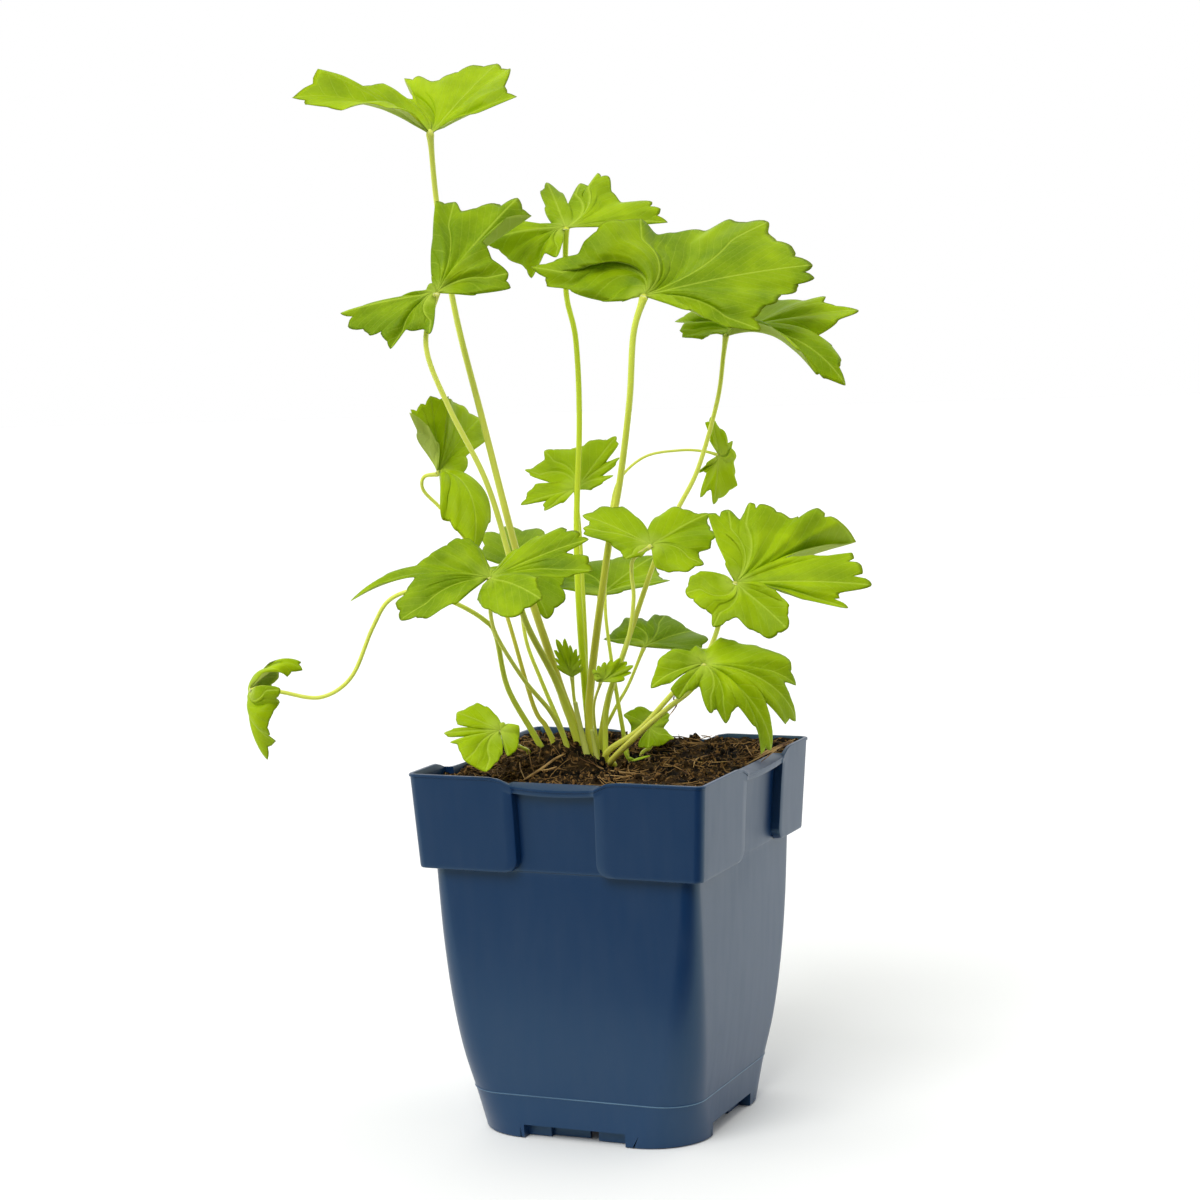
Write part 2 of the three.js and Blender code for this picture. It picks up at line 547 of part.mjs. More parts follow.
    stalk: [[-2, -7, -12], [-2, -7, 2], [-2, -10, 8], [9.5, -18, 17], [20, -24, 29], [33, -30, 44],
      [39, -32.5, 59], [43.5, -32.5, 69]],
    girth: [1, 0.85],
    ends: 6,
    face: [0.1, -0.75, 0.65],
    lobes: [[-212, 6, 1], [-197, 13, 0.97], [-184, 16, 0.97], [-166, 18, 0.95], [-141, 17, 0.97],
      [-124, 16, 1], [-115, 20, 0.95], [-92, 15, 1], [-77, 20, 0.97], [-63, 25, 0.97],
      [-50, 26, 0.97, 12], [-36, 22, 0.97, 20], [-28, 16, 1, 30], [-25, 12, 1, 36], [-22, 25, 1, 18],
      [-17, 40, 0.95, 14], [-12, 36, 1, 18], [-5, 47, 0.95, 17], [3, 44, 0.97, 18], [14, 33, 1, 18],
      [20, 29, 1, 22], [26, 18, 1, 16], [28, 36, 1, 4], [30, 53, 0.95, 0], [38, 49, 0.97],
      [46, 45, 0.95, 10], [54, 35, 0.97], [70, 34, 0.95, 12], [79, 34, 0.97, 12], [84, 27, 1, 11],
      [92, 31, 0.95, 11], [106, 30, 1, 9], [111, 18, 1, 12], [116, 8, 1, 18]],
  },
  {
    name: 'leaf_rear_centre',
    stalk: [[-9, 12.5, -12], [-9, 12.5, 2], [-7.5, 14.5, 23], [-5, 17.5, 44], [-3.5, 20, 54], [-3.5, 21.5, 60]],
    girth: [0.75, 0.6],
    face: [0, -0.35, 0.93],
    lobes: [[14, 9, 1], [18, 22, 1], [21, 28, 0.95], [32, 27, 0.97], [40, 29, 0.95], [52, 34, 0.95, 12],
      [66, 28, 0.93, 13], [89, 23, 0.93, 18], [115, 25, 0.93, 12], [137, 22, 0.95], [156, 16, 0.97],
      [167, 8, 1]],
  },
  {
    name: 'leaf_rear_right',
    stalk: [[-3, 8, -12], [-3, 8, 2], [-5, 9, 8], [1, 12, 20], [6, 15, 28], [11, 17, 39], [12, 18, 41]],
    girth: [0.7, 0.55],
    face: [0, -0.3, 0.95],
    lobes: [[-8, 21, 0.95], [10, 24, 0.97], [39, 24, 0.97], [53, 23, 0.97, 11], [69, 24, 0.97, 13],
      [78, 23, 1, 16], [84, 19, 1, 16], [92, 21, 0.97, 17], [105, 22, 0.97, 15], [120, 18, 0.97, 10],
      [145, 18, 0.95], [154, 10, 1]],
  },
  {
    name: 'leaf_low_right',
    stalk: [[0, -9, -12], [0, -9, 2], [-0.5, -12.5, 5.4], [9.5, -26, 17], [19, -38, 27], [27.5, -46, 35],
      [31.5, -48, 43]],
    girth: [1.05, 0.9],
    ends: 5,
    face: [0.1, -0.6, 0.8],
    lobes: [[-141, 15, 1, 8, 50], [-128, 16, 0.95, 8, 60], [-117, 12, 1, 18, 60], [-101, 9, 1, 14, 60],
      [-82, 19, 0.97, 14, 70], [-74, 18, 1, 16, 75], [-66, 24, 0.95, 14, 80], [-53, 21, 1, 28, 80],
      [-47, 30, 1, 24, 90], [-44, 40, 0.95, 10, 95], [-37, 41, 0.95, 12, 95], [-27, 27, 1, 28, 85],
      [-21, 39, 0.95, 19, 90], [-13, 43, 0.95, 19, 90], [-5, 30, 1, 22, 60], [0, 35, 0.95, 17, 60],
      [8, 31, 0.97, 17, 40], [28, 22, 0.97, 11, 20], [45, 17, 0.97, 10], [62, 14, 1, 8, 10],
      [76, 9, 1, 0, 5], [134, 7, 1, 25, 10], [157, 12, 0.97, 20, 20], [177, 16, 0.97, 16, 40],
      [194, 21, 0.95, 9, 60], [206, 14, 1, 12, 60]],
  },
  {
    name: 'leaf_mid_left',
    stalk: [[-12, -5, -12], [-12, -5, 10], [-16.5, -6, 11], [-22, -10, 23], [-30.5, -16, 35],
      [-38.5, -24, 50], [-41, -29, 59], [-41, -32.5, 73]],
    girth: [0.85, 0.7],
    ends: 4,
    face: [0, -0.45, 0.9],
    lobes: [[-112, 11, 0.97, 0, 20], [-90, 18, 0.97, 4, 20], [-74, 30, 0.95, 15, 20], [-55, 33, 0.95, 24, 20],
      [-44, 25, 1, 30, 20], [-29, 17, 1, 24], [-10, 30, 1, 16], [-4, 36, 0.97, 14], [4, 35, 0.95, 17],
      [11, 28, 1, 19], [16, 37, 0.95, 20], [22, 35, 0.95, 24], [32, 32, 0.97, 27], [42, 25, 1, 26],
      [55, 18, 1, 16], [72, 12, 1, -5], [98, 8, 1], [106, 16, 1, 22], [118, 18, 0.97, 30],
      [132, 20, 0.97, 32], [148, 22, 0.97, 26, 20], [161, 27, 1, 13, 25], [167, 38, 1, 15, 40],
      [172, 53, 1, 13, 55], [175, 38, 1, 15, 40], [179, 26, 1, 14, 25], [188, 29, 0.97, 11, 25],
      [196, 34, 0.97, 8, 25], [208, 35, 0.95, 3, 25], [221, 29, 0.97, 4, 25], [234, 20, 1, 11, 20]],
  },
  {
    name: 'leaf_rear_left',
    stalk: [[-12, 7, -12], [-12, 7, 10], [-19.5, 10, 17], [-25.5, 14, 31], [-30.5, 17.5, 45], [-32, 21, 60],
      [-30.5, 19, 69]],
    girth: [0.8, 0.65],
    face: [0, -0.5, 0.87],
    lobes: [[-66, 22, 0.93, 0, 30], [-44, 20, 0.85, 0, 20], [-12, 15, 0.8], [30, 14, 0.7], [62, 26, 0.88],
      [82, 30, 0.9], [102, 32, 0.85], [120, 30, 0.9], [138, 22, 0.9]],
  },
  {
    name: 'leaf_far_left',
    stalk: [[-20, 0, -12], [-20, 0, 7], [-26, -1, 10], [-37, -4, 31], [-40.5, -6, 50], [-44.5, -8, 56],
      [-54, -8, 62], [-66.5, -8, 67], [-77.5, -8, 64], [-84, -8, 54], [-92, -8, 37], [-103, -8, 30],
      [-116, -8, 32], [-123, -8, 34], [-128, -8, 33]],
    girth: [0.8, 0.7],
    face: [-0.95, -0.3, 0.05],
    lobes: [[-13, 18, 0.93, -3, 130], [2, 24, 0.95, -10, 120], [12, 24, 0.93, -8, 110],
      [36, 19, 0.93, 0, 110], [70, 19, 0.93, 14, 130], [96, 15, 0.95, 12, 120], [151, 16, 0.93, 13, 80],
      [174, 27, 0.9, 9, 50], [190, 22, 0.9, 13, 75], [203, 19, 0.95, 22, 85], [221, 15, 0.95, 23, 95],
      [246, 15, 0.9, 9, 110], [278, 16, 0.9, 14, 105]],
  },
  {
    name: 'leaf_young_upright',
    stalk: [[-9, -0.5, -12], [-9, -0.5, 12], [-13.5, -2, 24], [-14, -4, 32]],
    girth: [0.7, 0.55],
    face: [0, 0.1, 1],
    lobes: [[10, 10, 0.7, 70, 1], [60, 14, 0.7, 72, 1], [120, 15, 0.7, 75, 1], [170, 12, 0.9, 70, 1]],
  },
  {
    name: 'leaf_young_front',
    stalk: [[-5, -3, -12], [-5, -3, 9], [-6.5, -13, 24], [-4.5, -21, 31.5]],
    girth: [0.55, 0.45],
    face: [0.1, -0.4, 0.9],
    lobes: [[-20, 7, 0.7, 20, 10], [5, 14, 0.7, 20, 10], [35, 12, 0.7, 25, 10], [80, 8, 0.7, 35, 10],
      [150, 6, 0.9, 30, 10]],
  },
  {
    name: 'leaf_low_left',
    stalk: [[-22, -14, -12], [-22, -14, 2], [-30, -22, 9.5], [-34, -28, 14], [-39, -33, 20]],
    girth: [0.7, 0.6],
    ends: 8,
    face: [0.1, -0.75, 0.65],
    lobes: [[-118, 17, 0.95], [-106, 17, 0.95], [-92, 13, 0.97], [-65, 10, 0.95], [-23, 7, 0.95],
      [13, 7, 0.95], [38, 4, 1], [60, 2, 1], [105, 5, 1], [118, 11, 0.97], [128, 14, 0.95],
      [142, 16, 0.95], [160, 16, 0.95], [177, 13, 1], [184, 19, 0.93], [191, 18, 1], [197, 10, 1],
      [203, 16, 0.95], [220, 17, 0.95]],
  },
  {
    name: 'leaf_low_rear',
    stalk: [[10, 14, -12], [10, 14, 2], [13.5, 15, 5], [13.5, 15, 8.5], [13.5, 12, 13]],
    girth: [0.65, 0.55],
    face: [0.1, -0.7, 0.7],
    lobes: [[-114, 10, 0.95], [-96, 10, 0.95], [-79, 9, 0.95], [-50, 9, 0.95], [-32, 10, 0.95], [-17, 7, 1],
      [-2, 5, 1], [29, 8, 0.97], [42, 10, 0.95], [74, 7, 0.97], [106, 9, 0.95], [148, 11, 0.95],
      [181, 7, 1], [218, 8, 0.95]],
  },
  {
    name: 'seedling',
    stalk: [[9, -2, -10], [9, -2, -2], [8, -4, 5]],
    girth: [0.5, 0.4],
    ends: 10,
    face: [0, -0.4, 0.9],
    lobes: [[-25, 2.5, 0.7], [14, 10, 0.4, 20, 20], [55, 2.5, 0.7], [150, 7, 0.5, 35, 15], [185, 2.5, 0.7]],
  },
].map(prepare);

// Pale sheathing bases at the foot of the stalks
const SHEATHS = [
  { name: 'crown_sheath_front', points: [[-6.5, -8.4, -11], [-6.5, -8.4, 4], [-8.5, -7.8, 13]], girth: [2.3, 1.2] },
  { name: 'crown_sheath_inner', points: [[-4.5, 0.2, -11], [-4.5, 0.2, 6], [-4.8, 0.6, 21]], girth: [1.8, 0.8] },
];

const plant = new THREE.Group();
plant.rotation.z = PLANT_TURN;
plant.position.z = CROWN_HEIGHT;
const holes = [];

for (const leaf of LEAVES) {
  const stalk = solid(stem(leaf.stalk, leaf.girth[0], leaf.girth[1], leaf.flare));
  const mesh = new THREE.Mesh(geometryOf(stalk.add(solid(makeBlade(leaf)))), GREEN);
  mesh.name = leaf.name;
  plant.add(mesh);
  holes.push(holeFor(leaf.stalk, leaf.girth));
}
for (const { name, points, girth } of SHEATHS) {
  const mesh = new THREE.Mesh(stem(points, girth[0], girth[1]), PALE);
  mesh.name = name;
  plant.add(mesh);
  holes.push(holeFor(points, girth));
}

const pot = new THREE.Mesh(makePot(), BLUE);
pot.name = 'pot';
const stand = (hole) => solid(hole.rotateZ(PLANT_TURN).translate(0, 0, CROWN_HEIGHT));
const soil = new THREE.Mesh(makeSoil(holes.map(stand)), PEAT);
soil.name = 'soil';

const object = new THREE.Group();
object.add(pot, soil, plant);

export default object;
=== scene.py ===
"""A young delphinium in its square nursery pot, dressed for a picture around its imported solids.

Sizes are in millimetres and turned into metres where a mesh is made. The pot's sides run along X and Y.
The plant has a frame of its own, with X to the right, Y away from the front and Z up from its crown.
"""

import math

import bpy
import numpy as np
from mathutils import Matrix


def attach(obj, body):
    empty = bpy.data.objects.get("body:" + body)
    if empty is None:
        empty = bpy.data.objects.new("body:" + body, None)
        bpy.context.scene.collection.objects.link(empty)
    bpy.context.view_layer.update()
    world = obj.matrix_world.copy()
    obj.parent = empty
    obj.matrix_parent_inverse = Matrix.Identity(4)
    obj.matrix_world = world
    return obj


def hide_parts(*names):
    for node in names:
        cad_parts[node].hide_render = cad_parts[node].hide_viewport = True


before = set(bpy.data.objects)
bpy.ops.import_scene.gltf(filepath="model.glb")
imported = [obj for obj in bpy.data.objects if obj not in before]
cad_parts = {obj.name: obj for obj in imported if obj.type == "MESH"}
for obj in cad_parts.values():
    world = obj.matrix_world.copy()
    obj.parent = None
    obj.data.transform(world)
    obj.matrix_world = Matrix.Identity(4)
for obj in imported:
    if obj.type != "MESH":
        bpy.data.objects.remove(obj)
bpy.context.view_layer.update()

# The view and the light
# A picture of a potted plant on a white table: the lens is about a metre away and a little above the rim,
# and everything but the lens's own side of the room is white.
PLANT_TURN = math.radians(22.9)
LENS_DISTANCE = 1000
LENS_HEIGHT = 295.1
LENS_DIP = math.radians(6.213)
LENS_SWING = math.radians(0.189)
LENS_TILT = math.radians(1.604)
FOCAL_LENGTH = 84.79


def turn_matrix(angle, axis):
    """A turn by an angle about X or Z, as a 3 by 3 matrix."""
    c, s = math.cos(angle), math.sin(angle)
    if axis == "X":
        return np.array([[1, 0, 0], [0, c, -s], [0, s, c]])
    return np.array([[c, -s, 0], [s, c, 0], [0, 0, 1]])


PLANT_AXES = turn_matrix(PLANT_TURN, "Z")
lens = bpy.data.cameras.new("lens")
lens.lens = FOCAL_LENGTH
lens.sensor_width = 36
lens.clip_end = 20
camera = bpy.data.objects.new("camera", lens)
bpy.context.collection.objects.link(camera)
placed = np.eye(4)
placed[:3, :3] = (
    turn_matrix(PLANT_TURN + LENS_SWING, "Z")
    @ turn_matrix(math.pi / 2 - LENS_DIP, "X")
    @ turn_matrix(-LENS_TILT, "Z")
)
placed[:3, 3] = PLANT_AXES @ np.array([0, -LENS_DISTANCE, LENS_HEIGHT]) / 1000
camera.matrix_world = Matrix(placed)
bpy.context.scene.camera = camera
bpy.context.scene.view_settings.view_transform = "Standard"


def linear(red, green, blue):
    """A colour read off as display values up to 255, as the linear values that a shader takes."""
    share = np.array([red, green, blue]) / 255
    return (*np.where(share <= 0.04045, share / 12.92, ((share + 0.055) / 1.055) ** 2.4).tolist(), 1.0)


def add_node(tree, kind, inputs=(), **settings):
    """A shader node with its settings; inputs are pairs of a socket and a value or another node's output."""
    node = tree.nodes.new(kind)
    for key, value in settings.items():
        setattr(node, key, value)
    for socket, value in inputs:
        if isinstance(value, bpy.types.NodeSocket):
            tree.links.new(value, node.inputs[socket])
        else:
            node.inputs[socket].default_value = value
    return node


def principled(name, colour, roughness, **inputs):
    """A material of one Principled shader; inputs are its other sockets, with _ for each space."""
    material = bpy.data.materials.new(name)
    material.use_nodes = True
    shader = material.node_tree.nodes["Principled BSDF"]
    shader.inputs["Base Color"].default_value = colour
    shader.inputs["Roughness"].default_value = roughness
    for key, value in inputs.items():
        shader.inputs[key.replace("_", " ")].default_value = value
    return material


# The room is white overhead, behind and to the sides, and dark on the lens's own side. The lens itself
# sees plain white.
FRONT_OF_ROOM = PLANT_AXES @ np.array([0.1, -0.98, 0.1])
ROOM_BRIGHT = 1.0
ROOM_DARK = 0.12
room = bpy.data.worlds.new("room")
room.use_nodes = True
bpy.context.scene.world = room
tree = room.node_tree
tree.nodes.clear()
direction = add_node(tree, "ShaderNodeTexCoord").outputs["Generated"]
facing = add_node(
    tree, "ShaderNodeVectorMath", [(0, direction), (1, FRONT_OF_ROOM.tolist())], operation="DOT_PRODUCT"
)
brightness = add_node(
    tree,
    "ShaderNodeMapRange",
    [("Value", facing.outputs["Value"]), (1, 0.15), (2, 0.85), (3, ROOM_BRIGHT), (4, ROOM_DARK)],
    interpolation_type="SMOOTHSTEP",
)
sides = add_node(tree, "ShaderNodeBackground", [("Strength", brightness.outputs["Result"])])
plain = add_node(tree, "ShaderNodeBackground", [("Strength", 1.0)])
for background in (sides, plain):
    background.inputs["Color"].default_value = (1, 1, 1, 1)
seen = add_node(tree, "ShaderNodeLightPath").outputs["Is Camera Ray"]
both = add_node(
    tree, "ShaderNodeMixShader", [(0, seen), (1, sides.outputs[0]), (2, plain.outputs[0])]
)
add_node(tree, "ShaderNodeOutputWorld", [(0, both.outputs[0])])

# A broad soft light high on the left of the lens lights plant and table alike
SOFT_LIGHT_FROM = (-0.45, -0.9, 1.0)
SOFT_LIGHT_STRENGTH = 2.1
SOFT_LIGHT_SPREAD = math.radians(38)
soft_light = bpy.data.lights.new("soft_light", "SUN")
soft_light.energy = SOFT_LIGHT_STRENGTH
soft_light.angle = SOFT_LIGHT_SPREAD
holder = bpy.data.objects.new("soft_light", soft_light)
bpy.context.collection.objects.link(holder)
back = PLANT_AXES @ np.array(SOFT_LIGHT_FROM)
back /= np.linalg.norm(back)
side = np.cross([0, 0, 1.0], back)
side /= np.linalg.norm(side)
placed = np.eye(4)
placed[:3, :3] = np.stack([side, np.cross(back, side), back], axis=1)
holder.matrix_world = Matrix(placed)

# The white table ends a short way in front of the pot
TABLE_FRONT = -0.14
TABLE_REACH = 6.0
TABLE_TOP = -0.0002
corners = np.array(
    [
        [-TABLE_REACH, TABLE_FRONT, TABLE_TOP],
        [TABLE_REACH, TABLE_FRONT, TABLE_TOP],
        [TABLE_REACH, TABLE_REACH, TABLE_TOP],
        [-TABLE_REACH, TABLE_REACH, TABLE_TOP],
    ]
)
table_mesh = bpy.data.meshes.new("table")
table_mesh.from_pydata((corners @ PLANT_AXES.T).tolist(), [], [(0, 1, 2, 3)])
table = bpy.data.objects.new("table", table_mesh)
bpy.context.collection.objects.link(table)
table_mesh.materials.append(
    principled(
        "white_table",
        linear(244, 245, 243),
        0.7,
        Emission_Color=(1, 1, 1, 1),
        Emission_Strength=0.015,
        Specular_IOR_Level=0.2,
    )
)

# The pot
# One thin shell of injection-moulded polypropylene: a body that narrows and rounds off towards its foot,
# a stepped-out collar with a sunk middle panel on each side, under a lip that bridges the two corner
# flaps, and a raised floor with drainage slots over a foot that is set back in the middle of each side.
POT_HEIGHT = 130.5
WALL = 1.2
COLLAR_BOTTOM = 97.0
COLLAR_HALF = (53.0, 55.0)
COLLAR_RADIUS = 3.0
BODY_HEIGHTS = [0, 13.2, 29.2, 48.2, 71.2, COLLAR_BOTTOM]
BODY_HALVES = [42.3, 43.1, 45.7, 47.6, 48.8, 49.3]
BODY_RADII = [21.5, 15.2, 12.5, 10, 7.5, 5]
PANELS = [(0.36, 0.64), (0.4, 0.74), (0.36, 0.64), (0.4, 0.74)]
PANEL_DEPTH = 3.2
PANEL_STEP = 0.5
FLAP_CORNER = 5.0
LIP_HEIGHT = 2.6
RIM_DIP = (2.6, 3.4)
RIM_DIP_RUN = 8.0
INNER_DIP = 1.9
FOOT_WALL = 1.4
FOOT_RECESS_HEIGHT = 4.8
FLOOR_UNDERSIDE = 5.6
FLOOR_TOP = 7.0
DRAIN_LENGTH = 14
DRAIN_WIDTH = 4
DRAIN_PLACE = 27
DRAIN_HEIGHTS = (3, 9)
# Along each side: places where the foot's set-back changes, and how far back it is from there on
FOOT_STEPS = [(-20.2, 4.1), (-11.5, 6.1), (2.6, 6.1), (6.5, 4.1), (18.2, 0)]
FOOT_REACH = 22
ARC_COLUMNS = 13
SIDE_COLUMNS = 44
# The columns along a side that stand where the foot sets back, those of its open notch, and those at the
# panel's two rounded edges
FOOT_COLUMNS = [7, 8, 12, 13, 20, 21, 24, 25, 33, 34]
NOTCH_COLUMNS = (21, 24)
PANEL_COLUMNS = [-1, 9, 10, 11, 12, 32, 33, 34, 35, SIDE_COLUMNS]
# Height and half width of the pale band painted along the edge of the step above the foot, which is partly
# painted highlight and partly wear
STEP_EDGE = 15.63
STEP_EDGE_REACH = 0.22
POT_BLUE = linear(1, 40, 82)
POT_HAZE = linear(92, 100, 110)
# Colour of that pale band along the step's edge: partly painted highlight, partly wear
POT_EDGE_HIGHLIGHT_AND_WEAR = linear(104, 136, 160)


def smooth_curve(at, places, values):
    """Values at places along a line joined by a curve that leaves each place at the mean of the two
    slopes beside it (a cubic through the places)."""
    places, values = np.array(places, float), np.array(values, float)
    slopes = np.diff(values) / np.diff(places)
    bends = np.concatenate([[slopes[0]], (slopes[1:] + slopes[:-1]) / 2, [slopes[-1]]])
    at = np.clip(at, places[0], places[-1])
    i = np.clip(np.searchsorted(places, at, side="right") - 1, 0, len(places) - 2)
    run = places[i + 1] - places[i]
    t = (at - places[i]) / run
    rise = values[i + 1] - values[i]
    a = bends[i] * run - rise
    b = rise - bends[i + 1] * run
    return values[i] + t * rise + t * (1 - t) * (a * (1 - t) + b * t)


def collar_half(height):
    """Half the collar's width, which grows evenly from its bottom edge to the rim."""
    t = (np.asarray(height) - COLLAR_BOTTOM) / (POT_HEIGHT - COLLAR_BOTTOM)
    return COLLAR_HALF[0] + t * (COLLAR_HALF[1] - COLLAR_HALF[0])


def pot_rows():
    """The pot's profile as rows of height, half width, corner radius, foot share, collar share, set-back
    of the foot, set-back of the panel, dip of the rim and depth below the outer face: the outside from
    the middle of the underside up to the rim, then the inside down to the middle of the floor."""
    rows = [
        (0, 9.8, 4, 0, 0, 0, 0, 0),
        (0.2, 10, 4, 0, 0, 0, 0, 0),
        (FLOOR_UNDERSIDE, 10, 4, 0, 0, 0, 0, 0),
        (FLOOR_UNDERSIDE, 26, 12, 0, 0, 0, 0, 0),
    ]
    inner = BODY_HALVES[0] - FOOT_WALL
    rows += [
        (FLOOR_UNDERSIDE, inner, BODY_RADII[0] - FOOT_WALL, 1, 0, 1, 0, 0),
        (0, inner, BODY_RADII[0] - FOOT_WALL, 1, 0, 1, 0, 0),
        (0, BODY_HALVES[0] - 0.3, BODY_RADII[0], 1, 0, 1, 0, 0),
    ]

    def body(height, foot=0, set_back=0, out=0.0):
        half = smooth_curve(height, BODY_HEIGHTS, BODY_HALVES)
        radius = smooth_curve(height, BODY_HEIGHTS, BODY_RADII)
        return (height, half + out, radius, foot, 0, set_back, 0, 0)

    roof = FOOT_RECESS_HEIGHT
    rows += [body(0.3, 1, 1), body(roof - 0.1, 1, 1), body(roof, 1, 1)]
    rows += [body(roof, 1, 0), body(roof + 0.3, 1)]
    rows += [body(z) for z in (9, 12, 14, 15.35)]
    rows += [body(15.5, out=0.2), body(15.75, out=0.2), body(15.9)]
    rows += [body(z) for z in (19, 23, 27, 31, 35, 40, 45, 50, 56, 62, 68, 74, 80, 86, 91, 95, 96.6)]
    low, high = COLLAR_HALF
    edge = COLLAR_BOTTOM
    rows += [
        (edge - 0.1, BODY_HALVES[-1] + 0.05, 5, 0, 1, 0, 0, 0),
        (edge, BODY_HALVES[-1] + 0.12, 4.5, 0, 1, 0, 0, 0),
        (edge, low - 0.5, COLLAR_RADIUS, 0, 1, 0, 1, 0),
        (edge + 0.15, low - 0.15, COLLAR_RADIUS, 0, 1, 0, 1, 0),
        (edge + 0.6, low, COLLAR_RADIUS, 0, 1, 0, 1, 0),
    ]

    def collar(below_rim, panel, dip, out=0.0):
        z = POT_HEIGHT - below_rim
        return (z, float(collar_half(z)) + out, COLLAR_RADIUS, 0, 1, 0, panel, dip)

    rows += [collar(below, 1, 0) for below in (32.4, 31.4, 30.2, 28.9, 26, 22, 18, 14)]
    rows += [collar(10, 1, 0.3), collar(7, 1, 0.75), collar(LIP_HEIGHT + 1.2, 1, 1)]
    rows += [collar(LIP_HEIGHT + 0.1, 0.95, 1), collar(LIP_HEIGHT, 0.12, 1)]
    rows += [collar(LIP_HEIGHT - 0.3, 0.06, 1), collar(1.1, 0.06, 1)]
    rows += [collar(0.95, 0.06, 1, 0.3), collar(0.25, 0.06, 1, 0.3), collar(0, 0.08, 1)]
    radius = COLLAR_RADIUS - 1
    inside = [
        (POT_HEIGHT, high - WALL + 0.2, radius, 0, 1, 0, 1, -1),
        (POT_HEIGHT - 0.3, high - WALL, radius, 0, 1, 0, 1, -1),
    ]
    inside += [
        collar(below, 1, dip, -WALL) for below, dip in ((4, -1), (9, -0.5), (14, 0), (22, 0), (31.5, 0))
    ]
    ledge = edge + WALL
    inside += [
        (ledge + 0.4, low - WALL, 2, 0, 1, 0, 1, 0),
        (ledge, BODY_HALVES[-1] - WALL, 4, 0, 0, 0, 0, 0),
    ]
    for z in (90, 71.2, 48.2, 29.2, 13.2, FLOOR_TOP):
        height, half, radius, *_ = body(z)
        inside.append((height, half - WALL, radius - WALL, 0, 0, 0, 0, 0))
    inside.append((FLOOR_TOP, 20, 9, 0, 0, 0, 0, 0))
    return np.array([(*row, 0) for row in rows] + [(*row, WALL) for row in inside], float)


def square_rings(rows):
    """Rows of a profile like the pot's, each carried round a square with round corners. Along a side the
    columns bunch up where the foot or the panel steps back, and the step is a set-back of the column
    towards the middle of the pot, a fall of the rim, or both."""
    z, half, radius, foot, collar, foot_back, panel_back, dip, depth = (
        measure[:, None] for measure in rows.T
    )
    column = np.arange(SIDE_COLUMNS)[None, :]
    straight = half - radius
    even = straight * (2 * (column + 1) / (SIDE_COLUMNS + 1) - 1)
    # where the columns stand on the foot, and how far back each is
    places, backs = [], []
    for place, back in FOOT_STEPS:
        places += [place, place + 0.08]
        backs += [backs[-1] if backs else 0.0, back]
    marks = [-1, *FOOT_COLUMNS, SIDE_COLUMNS]
    on_foot = np.interp(column[0], marks, [-FOOT_REACH, *places, FOOT_REACH])[None, :]
    back_foot = np.interp(column[0], marks, [0, *backs, 0])[None, :]
    notch = (column >= NOTCH_COLUMNS[0]) & (column <= NOTCH_COLUMNS[1])
    rings = []
    for side, (start, end) in enumerate(PANELS):
        # where they stand on the collar, whose flaps have round corners beside the panel
        from_edge = np.clip(1 - (z - COLLAR_BOTTOM) / FLAP_CORNER, 0, 1)
        cut = FLAP_CORNER * (1 - np.sqrt(1 - from_edge**2))
        left = (2 * start - 1) * (half + depth) - depth - cut
        right = (2 * end - 1) * (half + depth) + depth + cut
        step = PANEL_STEP
        stands = np.concatenate(
            [-straight, left - step, left, left + 0.5 * step, left + step]
            + [right - step, right - 0.5 * step, right, right + step, straight],
            axis=1,
        )
        on_collar = np.stack([np.interp(column[0], PANEL_COLUMNS, stand) for stand in stands])
        sunk = np.interp(column[0], PANEL_COLUMNS, [0, 0, 0.05, 0.3, 1, 1, 0.3, 0.05, 0, 0])[None, :]
        x = (1 - foot - collar) * even + foot * on_foot + collar * on_collar
        back = foot_back * back_foot + panel_back * sunk * PANEL_DEPTH
        # the rim falls towards the panel and sags in its middle; the inner edge falls less
        over = np.clip((x - left) / (right - left), 0, 1)
        near = np.clip(1 - np.maximum(left - x, x - right) / RIM_DIP_RUN, 0, 1)
        sag = RIM_DIP[0] * near**2 + (RIM_DIP[1] - RIM_DIP[0]) * 4 * over * (1 - over)
        fall = np.where(dip >= 0, dip * sag, -dip * INNER_DIP * near**2)
        height = np.where((foot_back > 0) & notch, np.maximum(z, FOOT_RECESS_HEIGHT), z - fall)
        flat = np.stack([x, back - half, height], axis=-1)
        angle = np.linspace(math.pi, 1.5 * math.pi, ARC_COLUMNS)[None, :]
        arc = [radius * np.cos(angle) - straight, radius * np.sin(angle) - straight, z + 0 * angle]
        arc = np.stack(arc, axis=-1)
        rings.append(np.concatenate([arc, flat], axis=1) @ turn_matrix(side * math.pi / 2, "Z").T)
    return np.concatenate(rings, axis=1)


def grid_quads(rows, columns, closed):
    """Four-cornered faces between the neighbours of a grid of points, wrapped round if it is closed."""
    first = np.arange(rows - 1)[:, None] * columns
    across = np.arange(columns if closed else columns - 1)[None, :]
    after = (across + 1) % columns
    corners = [first + across, first + after, first + columns + after, first + columns + across]
    return np.stack(corners, axis=-1).reshape(-1, 4)


def fan(centre, loop):
    """Triangles from one point to each pair of neighbours on a closed loop."""
    return np.stack([np.full(len(loop), centre), loop, np.roll(loop, -1)], axis=1)


def closed_skin(rings):
    """Points and faces of a grid closed round its columns, with a fan to the middle of each end ring."""
    rows, columns, _ = rings.shape
    points = np.concatenate([rings.reshape(-1, 3), rings[0].mean(0)[None], rings[-1].mean(0)[None]])
    loop = np.arange(columns)
    last = (rows - 1) * columns + loop
    start, end = rows * columns, rows * columns + 1
    return points, [grid_quads(rows, columns, True), fan(start, loop[::-1]), fan(end, last)]


